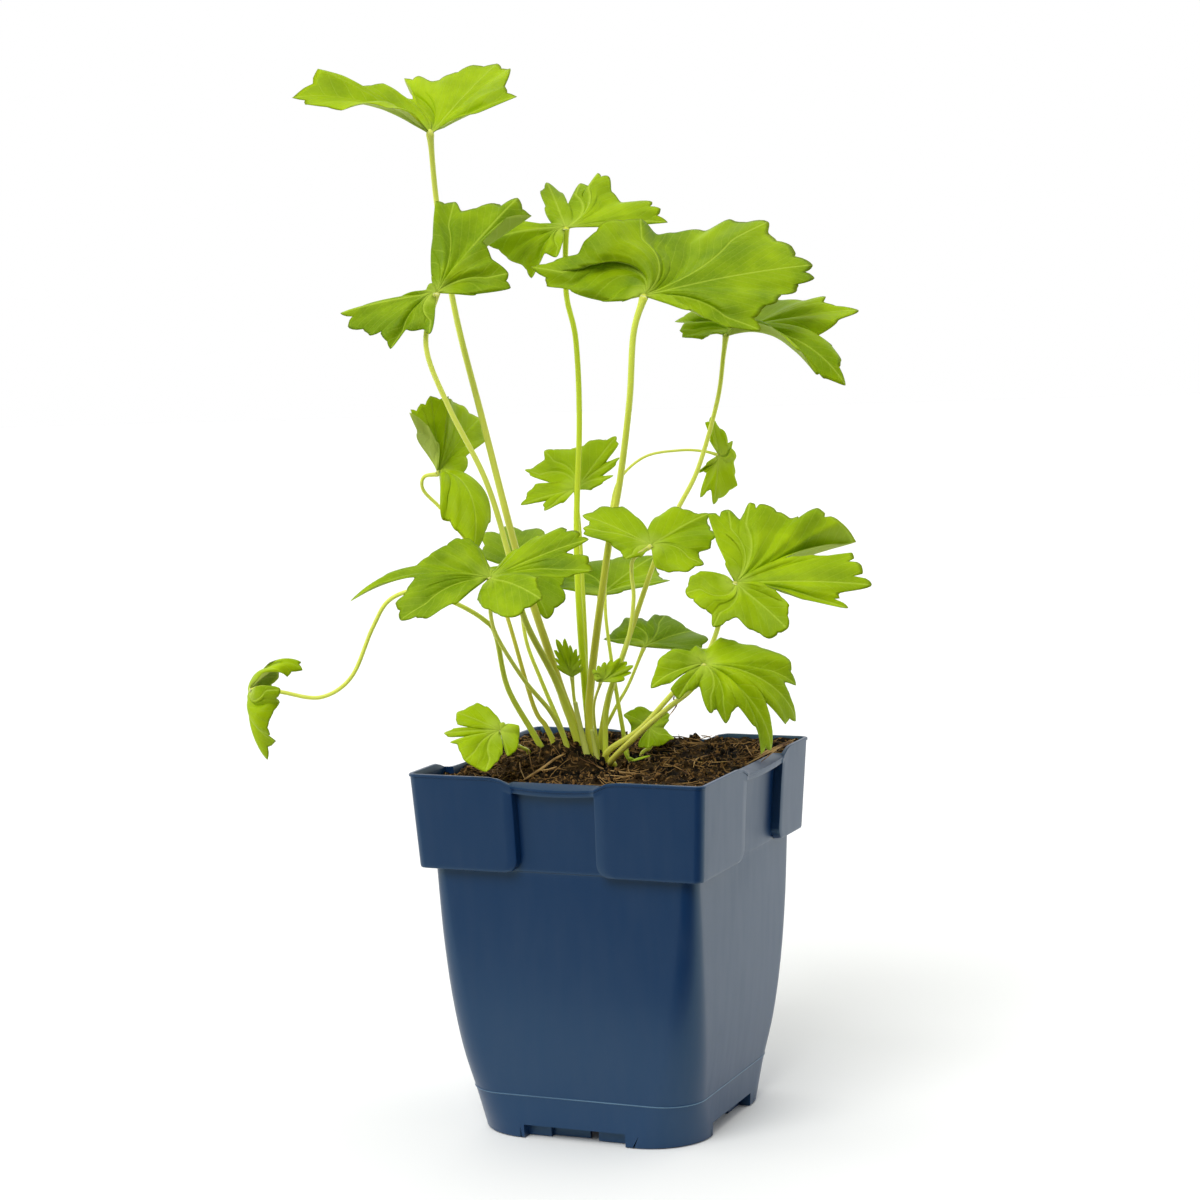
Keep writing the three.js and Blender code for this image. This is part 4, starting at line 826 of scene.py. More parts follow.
# A row of lobes is turn in degrees, reach, share of it left in the notch after the lobe, and the angles in
# degrees at which it leaves the stalk and bends down. Heights are above the foot of the crown. The last one
# is a small seedling of another plant that has come up beside it.
# Each leaf's tone darkens or lightens its whole blade: partly the leaf's own colour, partly painted shade on
# leaves that lie behind the others, and painted light on leaves that face the dim front of the room.
LEAVES = [
    {
        "name": "leaf_top_left",
        "stalk": [
            (-8.5, 3, -12), (-8.5, 3, 2), (-16.5, 4, 23), (-22, 4, 42), (-32.5, 6, 78), (-43.5, 10, 126),
            (-52, 16, 163), (-57.5, 19.5, 201), (-59, 15, 227),
        ],
        "girth": (1.6, 0.95),
        "ends": 8,
        "face": (0, 0.05, 1),
        "lobes": [
            (-12, 19, 1, 33, 20), (-3, 34, 0.95, 32, 20), (8, 32, 1, 40, 20), (30, 41, 0.97, 40, 5),
            (42, 42, 0.97, 44, 5), (57, 39, 0.95, 46, 5), (76, 33, 0.97, 48, 5), (90, 31, 1, 48, 5),
            (101, 35, 0.95, 46, 5), (112, 36, 1, 42, 5), (116, 23, 1, 48, 5), (121, 19, 1, 48, 5),
            (134, 23, 1, 55, 25), (145, 29, 0.97, 58, 25), (162, 34, 1, 43, 20), (169, 39, 1, 42, 15),
            (174, 47, 0.93, 39, 15), (181, 52, 0.95, 39, 45), (189, 47, 0.97, 40, 50),
            (206, 36, 0.97, 51, 75), (222, 31, 0.97, 47, 60), (235, 26, 0.95, 38, 40),
        ],
        "tone": 0.12,
        "red": 0.3,
    },
    {
        "name": "leaf_upper_left",
        "stalk": [
            (-10.5, -2.5, -12), (-10.5, -2.5, 2), (-19, -4, 31), (-30, -10, 56), (-35, -12.5, 80),
            (-42, -15.5, 106), (-54, -17, 132), (-61, -17.5, 153), (-57, -15, 171),
        ],
        "girth": (1.1, 0.9),
        "ends": 7,
        "face": (-0.1, -0.65, 0.75),
        "lobes": [
            (-5, 14, 1, 4), (1, 26, 0.95, 4), (12, 26, 1), (26, 23, 1, 18), (43, 25, 1, 26),
            (47, 38, 1, 20), (49, 51, 0.97, 6), (56, 52, 0.93, 11), (64, 47, 0.97, 10), (76, 39, 1, 14),
            (82, 45, 0.97, 13), (90, 44, 1, 16), (93, 30, 1, 10), (97, 12, 1), (104, 5, 1), (156, 5, 1),
            (163, 14, 1, -8), (168, 29, 1, -8), (172, 37, 0.9, -7), (180, 35, 0.93, -8, 20),
            (196, 28, 0.9, -9, 20), (208, 24, 0.97, -10, 20), (220, 25, 0.9, -16, 20),
            (230, 17, 1, -5, 20), (250, 15, 0.97, -4, 20), (262, 18, 0.9, 0, 20),
        ],
        "tone": -0.18,
        "red": 0.1,
    },
    {
        "name": "leaf_upper_middle",
        "stalk": [
            (-7.5, 7.5, -12), (-7.5, 7.5, 2), (-9.5, 8, 28), (-11, 12, 60), (-11, 16, 88), (-9, 20, 124),
            (-9.5, 25, 153), (-12.5, 27.5, 170), (-12, 24.5, 193),
        ],
        "girth": (1.15, 1),
        "ends": 8,
        "face": (0, -0.5, 0.87),
        "lobes": [
            (-2, 28, 1, 10), (0, 37, 0.93, 12, 20), (7, 35, 0.93, 14), (15, 33, 0.97, 15),
            (31, 24, 1, 14, 10), (45, 25, 1, 20), (57, 30, 0.95, 22), (65, 30, 1, 22), (70, 26, 1, 15),
            (78, 27, 1, 17), (87, 17, 1, 11), (93, 23, 1, 15), (104, 28, 0.95, 17), (112, 24, 1, 15),
            (119, 15, 1, 12), (133, 7, 1, 0), (156, 14, 1, 0), (164, 23, 1, 6), (172, 29, 0.97, 4, 20),
            (180, 30, 0.95, 6, 30), (192, 24, 1, -5, 30), (213, 21, 0.97, -7, 40),
            (229, 23, 0.9, -12, 40), (240, 15, 1, 5, 30), (255, 15, 0.9, 0, 30),
        ],
        "green": 0.8,
    },
    {
        "name": "leaf_upper_centre",
        "stalk": [
            (-7.5, -4, -12), (-7.5, -4, 2), (-8, -2.5, 26), (-0.5, -1.5, 76), (5, -3.5, 104),
            (9, -10, 132), (11, -9.5, 155), (15, -7.5, 168),
        ],
        "girth": (1.3, 1.1),
        "ends": 7,
        "face": (0.05, -0.7, 0.7),
        "lobes": [
            (-39, 21, 1, 25, 20), (-34, 26, 1, 16, 20), (-30, 34, 1, 10), (-24, 44, 0.93, 10),
            (-15, 42, 0.97, 14), (-7, 47, 0.95, 13), (3, 54, 0.95), (8, 61, 0.95), (14, 62, 0.95),
            (25, 59, 0.97), (35, 56, 1), (40, 60, 0.97), (52, 54, 1, 4), (60, 46, 1, -1), (72, 37, 1, 2),
            (79, 32, 1, 7), (91, 34, 0.97, 18), (115, 32, 0.97, 26, 20), (134, 30, 1, 24, 20),
            (143, 29, 1, 16), (153, 35, 0.97, 10), (160, 42, 0.93, 9, 20), (167, 35, 0.97, 6, 25),
            (171, 26, 1, 8, 25), (178, 15, 1, 0, 25), (187, 8, 1, 5, 25),
        ],
        "tone": -0.15,
        "green": 0.5,
        "red": 0.25,
    },
    {
        "name": "leaf_upper_right",
        "stalk": [
            (-5.5, 5, -12), (-5.5, 5, 2), (-1.5, 5, 24), (4, 8, 39), (17.5, 14, 75), (25.5, 18, 91),
            (33.5, 19.5, 106), (41, 21.5, 130), (43.5, 21, 146), (44.5, 20, 153),
        ],
        "girth": (0.95, 0.8),
        "ends": 5,
        "face": (0, -0.35, 0.93),
        "lobes": [
            (-64, 14, 1, 50, 20), (-58, 30, 1, 48, 45), (-54, 43, 1, 42, 65), (-43, 45, 0.97, 31, 75),
            (-38, 46, 1, 30, 80), (-33, 54, 0.95, 31, 85), (-27, 48, 1, 34, 75), (-21, 42, 1, 34, 65),
            (-14, 34, 1, 29, 50), (-6, 41, 1, 24, 30), (6, 49, 0.95, 17, 20), (14, 38, 1, 19),
            (19, 40, 0.97, 20), (35, 35, 0.97, 15, 10), (59, 31, 0.93, 14), (92, 25, 0.93, 19),
            (120, 24, 0.97, 9), (131, 27, 0.93, 7, 20), (145, 18, 1, 16, 20), (156, 18, 0.95, 9, 20),
            (168, 16, 0.97, 5, 25), (183, 9, 1, 7, 25), (194, 6, 1, 30, 25),
        ],
        "red": 0.15,
    },
    {
        "name": "leaf_nodding_left",
        "stalk": [
            (-20, 5.5, -8), (-21, 6, 7), (-24, 6.5, 15), (-28.5, 8, 23), (-36.5, 12, 53), (-42.5, 14, 71),
            (-50.5, 15, 82), (-59.5, 14, 94), (-65.5, 12, 101), (-65, 9, 106), (-60, 8, 107),
        ],
        "girth": (0.75, 0.6),
        "ends": 10,
        "face": (0.25, 0.05, 0.95),
        "lobes": [
            (-72, 31, 0.95, 17, 100), (-63, 37, 0.97, 20, 105), (-52, 46, 0.95, 18, 110),
            (-33, 34, 0.97, 30, 110), (-23, 25, 1, 34, 100), (-8, 13, 1, 25, 80), (10, 8, 1, 30, 50),
            (48, 15, 1, 55, 40), (60, 31, 0.97, 50, 40), (70, 36, 0.95, 54, 30), (84, 33, 0.97, 63, 20),
            (107, 28, 0.93, 80, 10), (170, 28, 0.95, 86, 5), (185, 28, 0.93, 75, 5),
            (198, 26, 0.93, 66, 5), (209, 26, 0.93, 53, 5), (218, 26, 1, 48, 5), (235, 20, 1, 57, 5),
            (251, 13, 1, 63, 5),
        ],
        "tone": 0.15,
        "red": 0.3,
    },
    {
        "name": "leaf_small_middle",
        "stalk": [
            (-7.5, 10.5, -12), (-7.5, 10.5, 2), (-9, 12.5, 27), (-9, 15.5, 45), (-9.5, 19.5, 69),
            (-10, 23, 84), (-11, 22, 99),
        ],
        "girth": (0.8, 0.65),
        "ends": 6,
        "face": (0, -0.75, 0.65),
        "lobes": [
            (0, 6, 1), (12, 10, 0.95), (23, 15, 0.93), (33, 12, 1), (38, 19, 0.97), (42, 22, 0.95),
            (48, 17, 1), (52, 26, 0.97), (57, 28, 0.95), (66, 24, 1), (75, 23, 0.95), (86, 20, 0.97),
            (105, 19, 0.97), (122, 21, 1), (129, 18, 1), (143, 19, 0.97), (152, 21, 0.95), (158, 18, 1),
            (163, 10, 1), (172, 15, 0.97), (184, 18, 0.95), (196, 21, 0.95), (203, 12, 1),
            (212, 14, 0.97), (220, 15, 0.95), (229, 8, 1),
        ],
        "tone": 0.1,
        "green": 0.5,
    },
    {
        "name": "leaf_hanging_right",
        "stalk": [
            (5, 8, -12), (5, 8, 2), (2, 9, 24), (0, 13.5, 39), (-1.5, 18, 56), (-0.5, 23, 76),
            (1.5, 26, 91), (5, 28, 102), (14.5, 28, 110), (27, 27, 112), (35.5, 26.5, 111.5),
            (41, 25.5, 110),
        ],
        "girth": (0.6, 0.45),
        "ends": 8,
        "face": (0.5, -0.85, 0.05),
        "lobes": [
            (-240, 6, 1, 0, 20), (-226, 10, 0.9, -15, 20), (-214, 8, 1, 0, 20), (-207, 17, 0.93, 5, 20),
            (-197, 13, 1, 5, 20), (-188, 18, 0.93, 5, 20), (-172, 16, 0.95, 5, 20),
            (-146, 14, 0.93, 5, 20), (-138, 10, 1, 5, 20), (-105, 8, 0.97, 5, 20), (-75, 7, 1, 5, 20),
            (-58, 9, 0.95, 5, 20), (-45, 6, 1, 5, 20), (-17, 10, 0.95, 5, 20), (8, 14, 0.93, 5, 20),
            (22, 13, 0.93, 8, 20), (32, 7, 1, 20, 20),
        ],
        "tone": 0.35,
    },
    {
        "name": "leaf_mid_centre",
        "stalk": [
            (-3, -4, -12), (-3, -4, 2), (-1.5, -7.5, 26), (6, -17.5, 48), (8.5, -19, 63), (8, -20.5, 72),
            (9, -24.5, 78), (15, -20, 81.5),
        ],
        "girth": (0.8, 0.65),
        "ends": 8,
        "face": (0.05, -0.6, 0.8),
        "lobes": [
            (-80, 12, 0.97, 5), (-60, 14, 0.97, 5), (-44, 18, 0.95, 5), (-24, 20, 0.95, 5),
            (-6, 17, 1, 5), (1, 21, 0.95, 5), (16, 24, 0.95, 5), (33, 25, 0.97, 5), (41, 28, 0.95),
            (50, 24, 0.97), (65, 22, 0.95), (80, 16, 1), (100, 8, 1), (107, 15, 1), (117, 22, 0.95),
            (131, 27, 0.97), (145, 29, 0.93), (154, 24, 1), (160, 25, 0.97), (168, 24, 0.95),
            (177, 14, 1), (193, 11, 0.97), (219, 12, 0.95), (233, 7, 1),
        ],
    },
    {
        "name": "leaf_mid_right",
        "stalk": [
            (-2, -7, -12), (-2, -7, 2), (-2, -10, 8), (9.5, -18, 17), (20, -24, 29), (33, -30, 44),
            (39, -32.5, 59), (43.5, -32.5, 69),
        ],
        "girth": (1, 0.85),
        "ends": 6,
        "face": (0.1, -0.75, 0.65),
        "lobes": [
            (-212, 6, 1), (-197, 13, 0.97), (-184, 16, 0.97), (-166, 18, 0.95), (-141, 17, 0.97),
            (-124, 16, 1), (-115, 20, 0.95), (-92, 15, 1), (-77, 20, 0.97), (-63, 25, 0.97),
            (-50, 26, 0.97, 12), (-36, 22, 0.97, 20), (-28, 16, 1, 30), (-25, 12, 1, 36),
            (-22, 25, 1, 18), (-17, 40, 0.92, 14), (-12, 36, 1, 18), (-5, 47, 0.9, 17), (3, 44, 0.93, 18),
            (13, 42, 1, 16), (16, 34.5, 1, 14), (19, 29.5, 1, 16), (22, 23.5, 1, 19), (27, 18.5, 1, 18),
            (29.5, 24, 1, 14), (31, 38, 1, 4), (32, 50, 1, -4), (33, 58, 1, -7), (38, 49, 0.95, 6),
            (46, 45, 0.92, 10), (54, 35, 0.97, 8), (70, 34, 0.93, 12), (79, 34, 0.97, 12),
            (84, 27, 1, 11), (92, 31, 0.92, 11), (106, 30, 1, 9), (111, 18, 1, 12), (116, 8, 1, 18),
        ],
        "tips": "blunt",
        "red": 0.2,
    },
    {
        "name": "leaf_rear_centre",
        "stalk": [
            (-9, 12.5, -12), (-9, 12.5, 2), (-7.5, 14.5, 23), (-5, 17.5, 44), (-3.5, 20, 54),
            (-3.5, 21.5, 60),
        ],
        "girth": (0.75, 0.6),
        "face": (0, -0.35, 0.93),
        "lobes": [
            (14, 9, 1), (18, 22, 1), (21, 28, 0.95), (32, 27, 0.97), (40, 29, 0.95), (52, 34, 0.95, 12),
            (66, 28, 0.93, 13), (89, 23, 0.93, 18), (115, 25, 0.93, 12), (137, 22, 0.95), (156, 16, 0.97),
            (167, 8, 1),
        ],
        "tone": -0.15,
    },
    {
        "name": "leaf_rear_right",
        "stalk": [
            (-3, 8, -12), (-3, 8, 2), (-5, 9, 8), (1, 12, 20), (6, 15, 28), (11, 17, 39), (12, 18, 41),
        ],
        "girth": (0.7, 0.55),
        "face": (0, -0.3, 0.95),
        "lobes": [
            (-8, 21, 0.95), (10, 24, 0.97), (39, 24, 0.97), (53, 23, 0.97, 11), (69, 24, 0.97, 13),
            (78, 23, 1, 16), (84, 19, 1, 16), (92, 21, 0.97, 17), (105, 22, 0.97, 15),
            (120, 18, 0.97, 10), (145, 18, 0.95), (154, 10, 1),
        ],
        # a darker tone: painted shade on a leaf that lies behind the others
        "tone": -0.35,
    },
    {
        "name": "leaf_low_right",
        "stalk": [
            (0, -9, -12), (0, -9, 2), (-0.5, -12.5, 5.4), (9.5, -26, 17), (19, -38, 27), (27.5, -46, 35),
            (31.5, -48, 43),
        ],
        "girth": (1.05, 0.9),
        "ends": 5,
        "face": (0.1, -0.6, 0.8),
        "lobes": [
            (-141, 15, 1, 8, 50), (-128, 16, 0.95, 8, 60), (-117, 12, 1, 18, 60), (-101, 9, 1, 14, 60),
            (-82, 19, 0.97, 14, 70), (-74, 18, 1, 16, 75), (-66, 24, 0.95, 14, 80), (-53, 21, 1, 28, 80),
            (-47, 30, 1, 24, 90), (-44, 40, 0.95, 10, 95), (-37, 41, 0.95, 12, 95), (-27, 27, 1, 28, 85),
            (-21, 39, 0.95, 19, 90), (-13, 43, 0.95, 19, 90), (-5, 30, 1, 22, 60), (0, 35, 0.95, 17, 60),
            (8, 31, 0.97, 17, 40), (28, 22, 0.97, 11, 20), (45, 17, 0.97, 10), (62, 14, 1, 8, 10),
            (76, 9, 1, 0, 5), (134, 7, 1, 25, 10), (157, 12, 0.97, 20, 20), (177, 16, 0.97, 16, 40),
            (194, 21, 0.95, 9, 60), (206, 14, 1, 12, 60),
        ],
        "red": 0.3,
    },
    {
        "name": "leaf_mid_left",
        "stalk": [
            (-15, -5, -8), (-15.5, -5, 4), (-17.5, -6, 13), (-22, -10, 23), (-30.5, -16, 35),
            (-38.5, -24, 50), (-41, -29, 59), (-41, -32.5, 73),
        ],
        "girth": (0.85, 0.7),
        "ends": 4,
        "face": (0, -0.45, 0.9),
        "lobes": [
            (-112, 11, 0.97, 0, 20), (-90, 18, 0.97, 4, 20), (-74, 30, 0.95, 15, 20),
            (-55, 33, 0.95, 24, 20), (-44, 25, 1, 30, 20), (-29, 17, 1, 24), (-10, 30, 1, 16),
            (-4, 36, 0.97, 14), (4, 35, 0.95, 17), (11, 28, 1, 19), (16, 37, 0.95, 20),
            (22, 35, 0.95, 24), (32, 32, 0.97, 27), (42, 25, 1, 26), (55, 18, 1, 16), (72, 12, 1, -5),
            (98, 8, 1), (106, 16, 1, 22), (118, 18, 0.97, 30), (132, 20, 0.97, 32),
            (148, 22, 0.97, 26, 20), (161, 27, 1, 13, 25), (167, 38, 1, 15, 40), (172, 53, 1, 13, 55),
            (175, 38, 1, 15, 40), (179, 26, 1, 14, 25), (188, 29, 0.97, 11, 25), (196, 34, 0.97, 8, 25),
            (208, 35, 0.95, 3, 25), (221, 29, 0.97, 4, 25), (234, 20, 1, 11, 20),
        ],
        "tips": "blunt",
        "tone": -0.12,
    },
    {
        "name": "leaf_rear_left",
        "stalk": [
            (-15.5, 6, -8), (-16, 6.5, 4), (-19, 8.5, 15), (-25.5, 14, 31), (-30.5, 17.5, 45),
            (-32, 21, 60), (-30.5, 19, 69),
        ],
        "girth": (0.8, 0.65),
        "face": (0, -0.5, 0.87),
        "lobes": [
            (-66, 22, 0.93, 0, 30), (-44, 20, 0.85, 0, 20), (-12, 15, 0.8), (30, 14, 0.7), (62, 26, 0.88),
            (82, 30, 0.9), (102, 32, 0.85), (120, 30, 0.9), (138, 22, 0.9),
        ],
        "tone": -0.15,
    },
    {
        "name": "leaf_far_left",
        "stalk": [
            (-23, 0, -8), (-24, 0, 4), (-28, -1, 13), (-37, -4, 31), (-40.5, -6, 50), (-44.5, -8, 56),
            (-54, -8, 62), (-66.5, -8, 67), (-77.5, -8, 64), (-84, -8, 54), (-92, -8, 37), (-103, -8, 30),
            (-116, -8, 32), (-123, -8, 34), (-128, -8, 33),
        ],
        "girth": (0.8, 0.7),
        "face": (-0.95, -0.3, 0.05),
        "lobes": [
            (-13, 18, 0.93, -3, 130), (2, 24, 0.95, -10, 120), (12, 24, 0.93, -8, 110),
            (36, 19, 0.93, 0, 110), (70, 19, 0.93, 14, 130), (96, 15, 0.95, 12, 120),
            (151, 16, 0.93, 13, 80), (174, 27, 0.9, 9, 50), (190, 22, 0.9, 13, 75),
            (203, 19, 0.95, 22, 85), (221, 15, 0.95, 23, 95), (246, 15, 0.9, 9, 110),
            (278, 16, 0.9, 14, 105),
        ],
        "tone": 0.05,
    },
    {
        "name": "leaf_young_upright",
        "stalk": [
            (-9, -0.5, -8), (-9.5, -0.5, 6), (-13, -2, 22), (-14, -4, 34),
        ],
        "girth": (0.7, 0.55),
        "ends": 16,
        "face": (0.1, -1, 0.45),
        "lobes": [
            (-46, 5.5, 0.7, 8, 10), (-31, 7.5, 0.75, 6, 5), (-20, 9.5, 0.75, -2, 5), (-12, 11, 0.8, 5, 5),
            (-1, 12.5, 0.8, -2, 5), (7, 14.5, 0.8, 5, 5), (18, 15.5, 0.75, -2, 5), (29, 12, 0.75, 4, 5),
            (38, 9.5, 0.7, 8, 5), (50, 7, 0.7, 12, 5),
        ],
        # a lighter tone: painted light on a leaf that faces the dim front of the room
        "tone": 0.5,
    },
    {
        "name": "leaf_young_front",
        "stalk": [
            (-5, -3, -8), (-5.5, -3.5, 7), (-6.5, -13, 24), (-3.8, -21, 34.5),
        ],
        "girth": (0.55, 0.45),
        "ends": 10,
        "face": (0.1, -1, 0.2),
        "lobes": [
            (-86, 8.5, 0.8, 8, 5), (-76, 11.5, 0.85, -2, 5), (-66, 13, 0.85, 5, 5), (-55, 12, 0.8, -2, 5),
            (-41, 10.8, 0.8, 6, 5), (-29, 8.8, 0.8, -2, 5), (-14, 7.2, 0.8, 6, 5), (8, 5.8, 0.8, 0, 5),
            (28, 5.2, 0.8, 8, 5), (62, 3, 0.8, 10, 5),
        ],
        "tone": 0.3,
    },
    {
        "name": "leaf_low_left",
        "stalk": [
            (-29.5, 2, -6), (-30, 0, 6), (-32.5, -11, 10.5), (-36, -24, 15), (-39, -33, 20),
        ],
        "girth": (0.7, 0.6),
        "ends": 5,
        "face": (0.1, -0.75, 0.65),
        "lobes": [
            (-75, 10.5, 1), (-61, 9.7, 1), (-21, 7, 1), (13, 6.7, 1), (34, 5, 1), (44, 3, 1),
            (96, 3.5, 1), (105, 6.8, 1), (118, 10.6, 1), (127, 13.9, 1), (142, 15.2, 1), (155, 16.6, 1),
            (166, 15.8, 1), (173, 15, 1), (176, 10, 1), (179, 16.4, 1), (184, 19.5, 1), (188, 18.5, 1),
            (191, 11.5, 1), (195, 18, 1), (202, 16, 1), (214, 16.7, 1), (226, 17.7, 1), (241, 17.2, 1),
            (253, 17.4, 1), (265, 13.3, 1), (272, 10.4, 1),
        ],
        "tips": "blunt",
        "tone": 0.08,
    },
    {
        "name": "leaf_low_rear",
        "stalk": [
            (10, 14, -12), (10, 14, 2), (13.5, 15, 5), (13.5, 15, 8.5), (13.5, 12, 13),
        ],
        "girth": (0.65, 0.55),
        "face": (0.1, -0.7, 0.7),
        "lobes": [
            (-114, 10, 0.95), (-96, 10, 0.95), (-79, 9, 0.95), (-50, 9, 0.95), (-32, 10, 0.95),
            (-17, 7, 1), (-2, 5, 1), (29, 8, 0.97), (42, 10, 0.95), (74, 7, 0.97), (106, 9, 0.95),
            (148, 11, 0.95), (181, 7, 1), (218, 8, 0.95),
        ],
        "tips": "blunt",
        "tone": -0.1,
    },
    {
        "name": "seedling",
        "stalk": [
            (5.5, -4, -6), (5.5, -4, 0), (5.5, -4, 3.2),
        ],
        "girth": (0.5, 0.4),
        "ends": 6,
        "face": (0, -1, 0.25),
        "lobes": [
            (-84, 2, 1, 5, 5), (-76, 8, 1, 5, 5), (-67, 2, 1, 5, 5), (10, 1.6, 1, 5, 5),
            (22, 6.5, 1, 5, 5), (33, 1.8, 1, 5, 5),
        ],
        "tone": 0.1,
    },
]
USUAL_RISE = 8
USUAL_DROOP = 15
USUAL_ENDS = 12
TOOTH_COLUMNS = 8
RINGS = 22
# The blade's funnel around the stalk, its waves, the swelling between veins and the ridges under them
FUNNEL_REACH = 6
FUNNEL_LIFT = 10
DEEP_NOTCH = 0.72
WAVE_COUNT = 7
WAVE_HEIGHT = 0.8
PUFF_HEIGHT = 0.8
RIDGE_HEIGHT = 0.3
RIDGE_WIDTH = 0.45
STALK_SIDES = 20
STALK_RINGS = 12
RIB_COUNT = 5
RIB_HEIGHT = 0.05
NECK_SWELL = 0.6
NECK_LENGTH = 3
# Side veins: how steeply they leave the main vein, their distance apart and how far they wander
SIDE_VEIN_SLANT = -1.9
SIDE_VEIN_GAP = 5.0
SIDE_VEIN_WANDER = 2.5
# How strongly side veins, the net of fine veins and all veins together show
SIDE_VEIN_SHOW = 0.4
NET_SHOW = 0.18
VEIN_SHOW = 0.5
# Exponents of a tooth's outline: high ones are blunt, low ones are pointed
TEETH = {"blunt": (2.4, 2.4), "pointed": (1.35, 1.5)}
GREEN = linear(144, 178, 0)
DEEP_GREEN = linear(112, 143, 0)
FRESH_GREEN = linear(172, 200, 0)
VEIN_GREEN = linear(184, 208, 66)
UNDERSIDE = linear(160, 186, 58)
UNDERSIDE_LIGHT = linear(168, 186, 78)
UNDERSIDE_VEIN = linear(190, 202, 104)
BLADE_FOOT = linear(178, 200, 70)
STALK_PALE = linear(230, 234, 120)
STALK_GREEN = linear(200, 220, 24)
STALK_RED = linear(196, 146, 60)


def tooth(x, kind):
    """A tooth's outline: 1 at its tip, where x is 0, and 0 in the notch, where x is 1."""
    a, b = TEETH[kind]
    return np.maximum(0, 1 - np.abs(x) ** a) ** (1 / b)


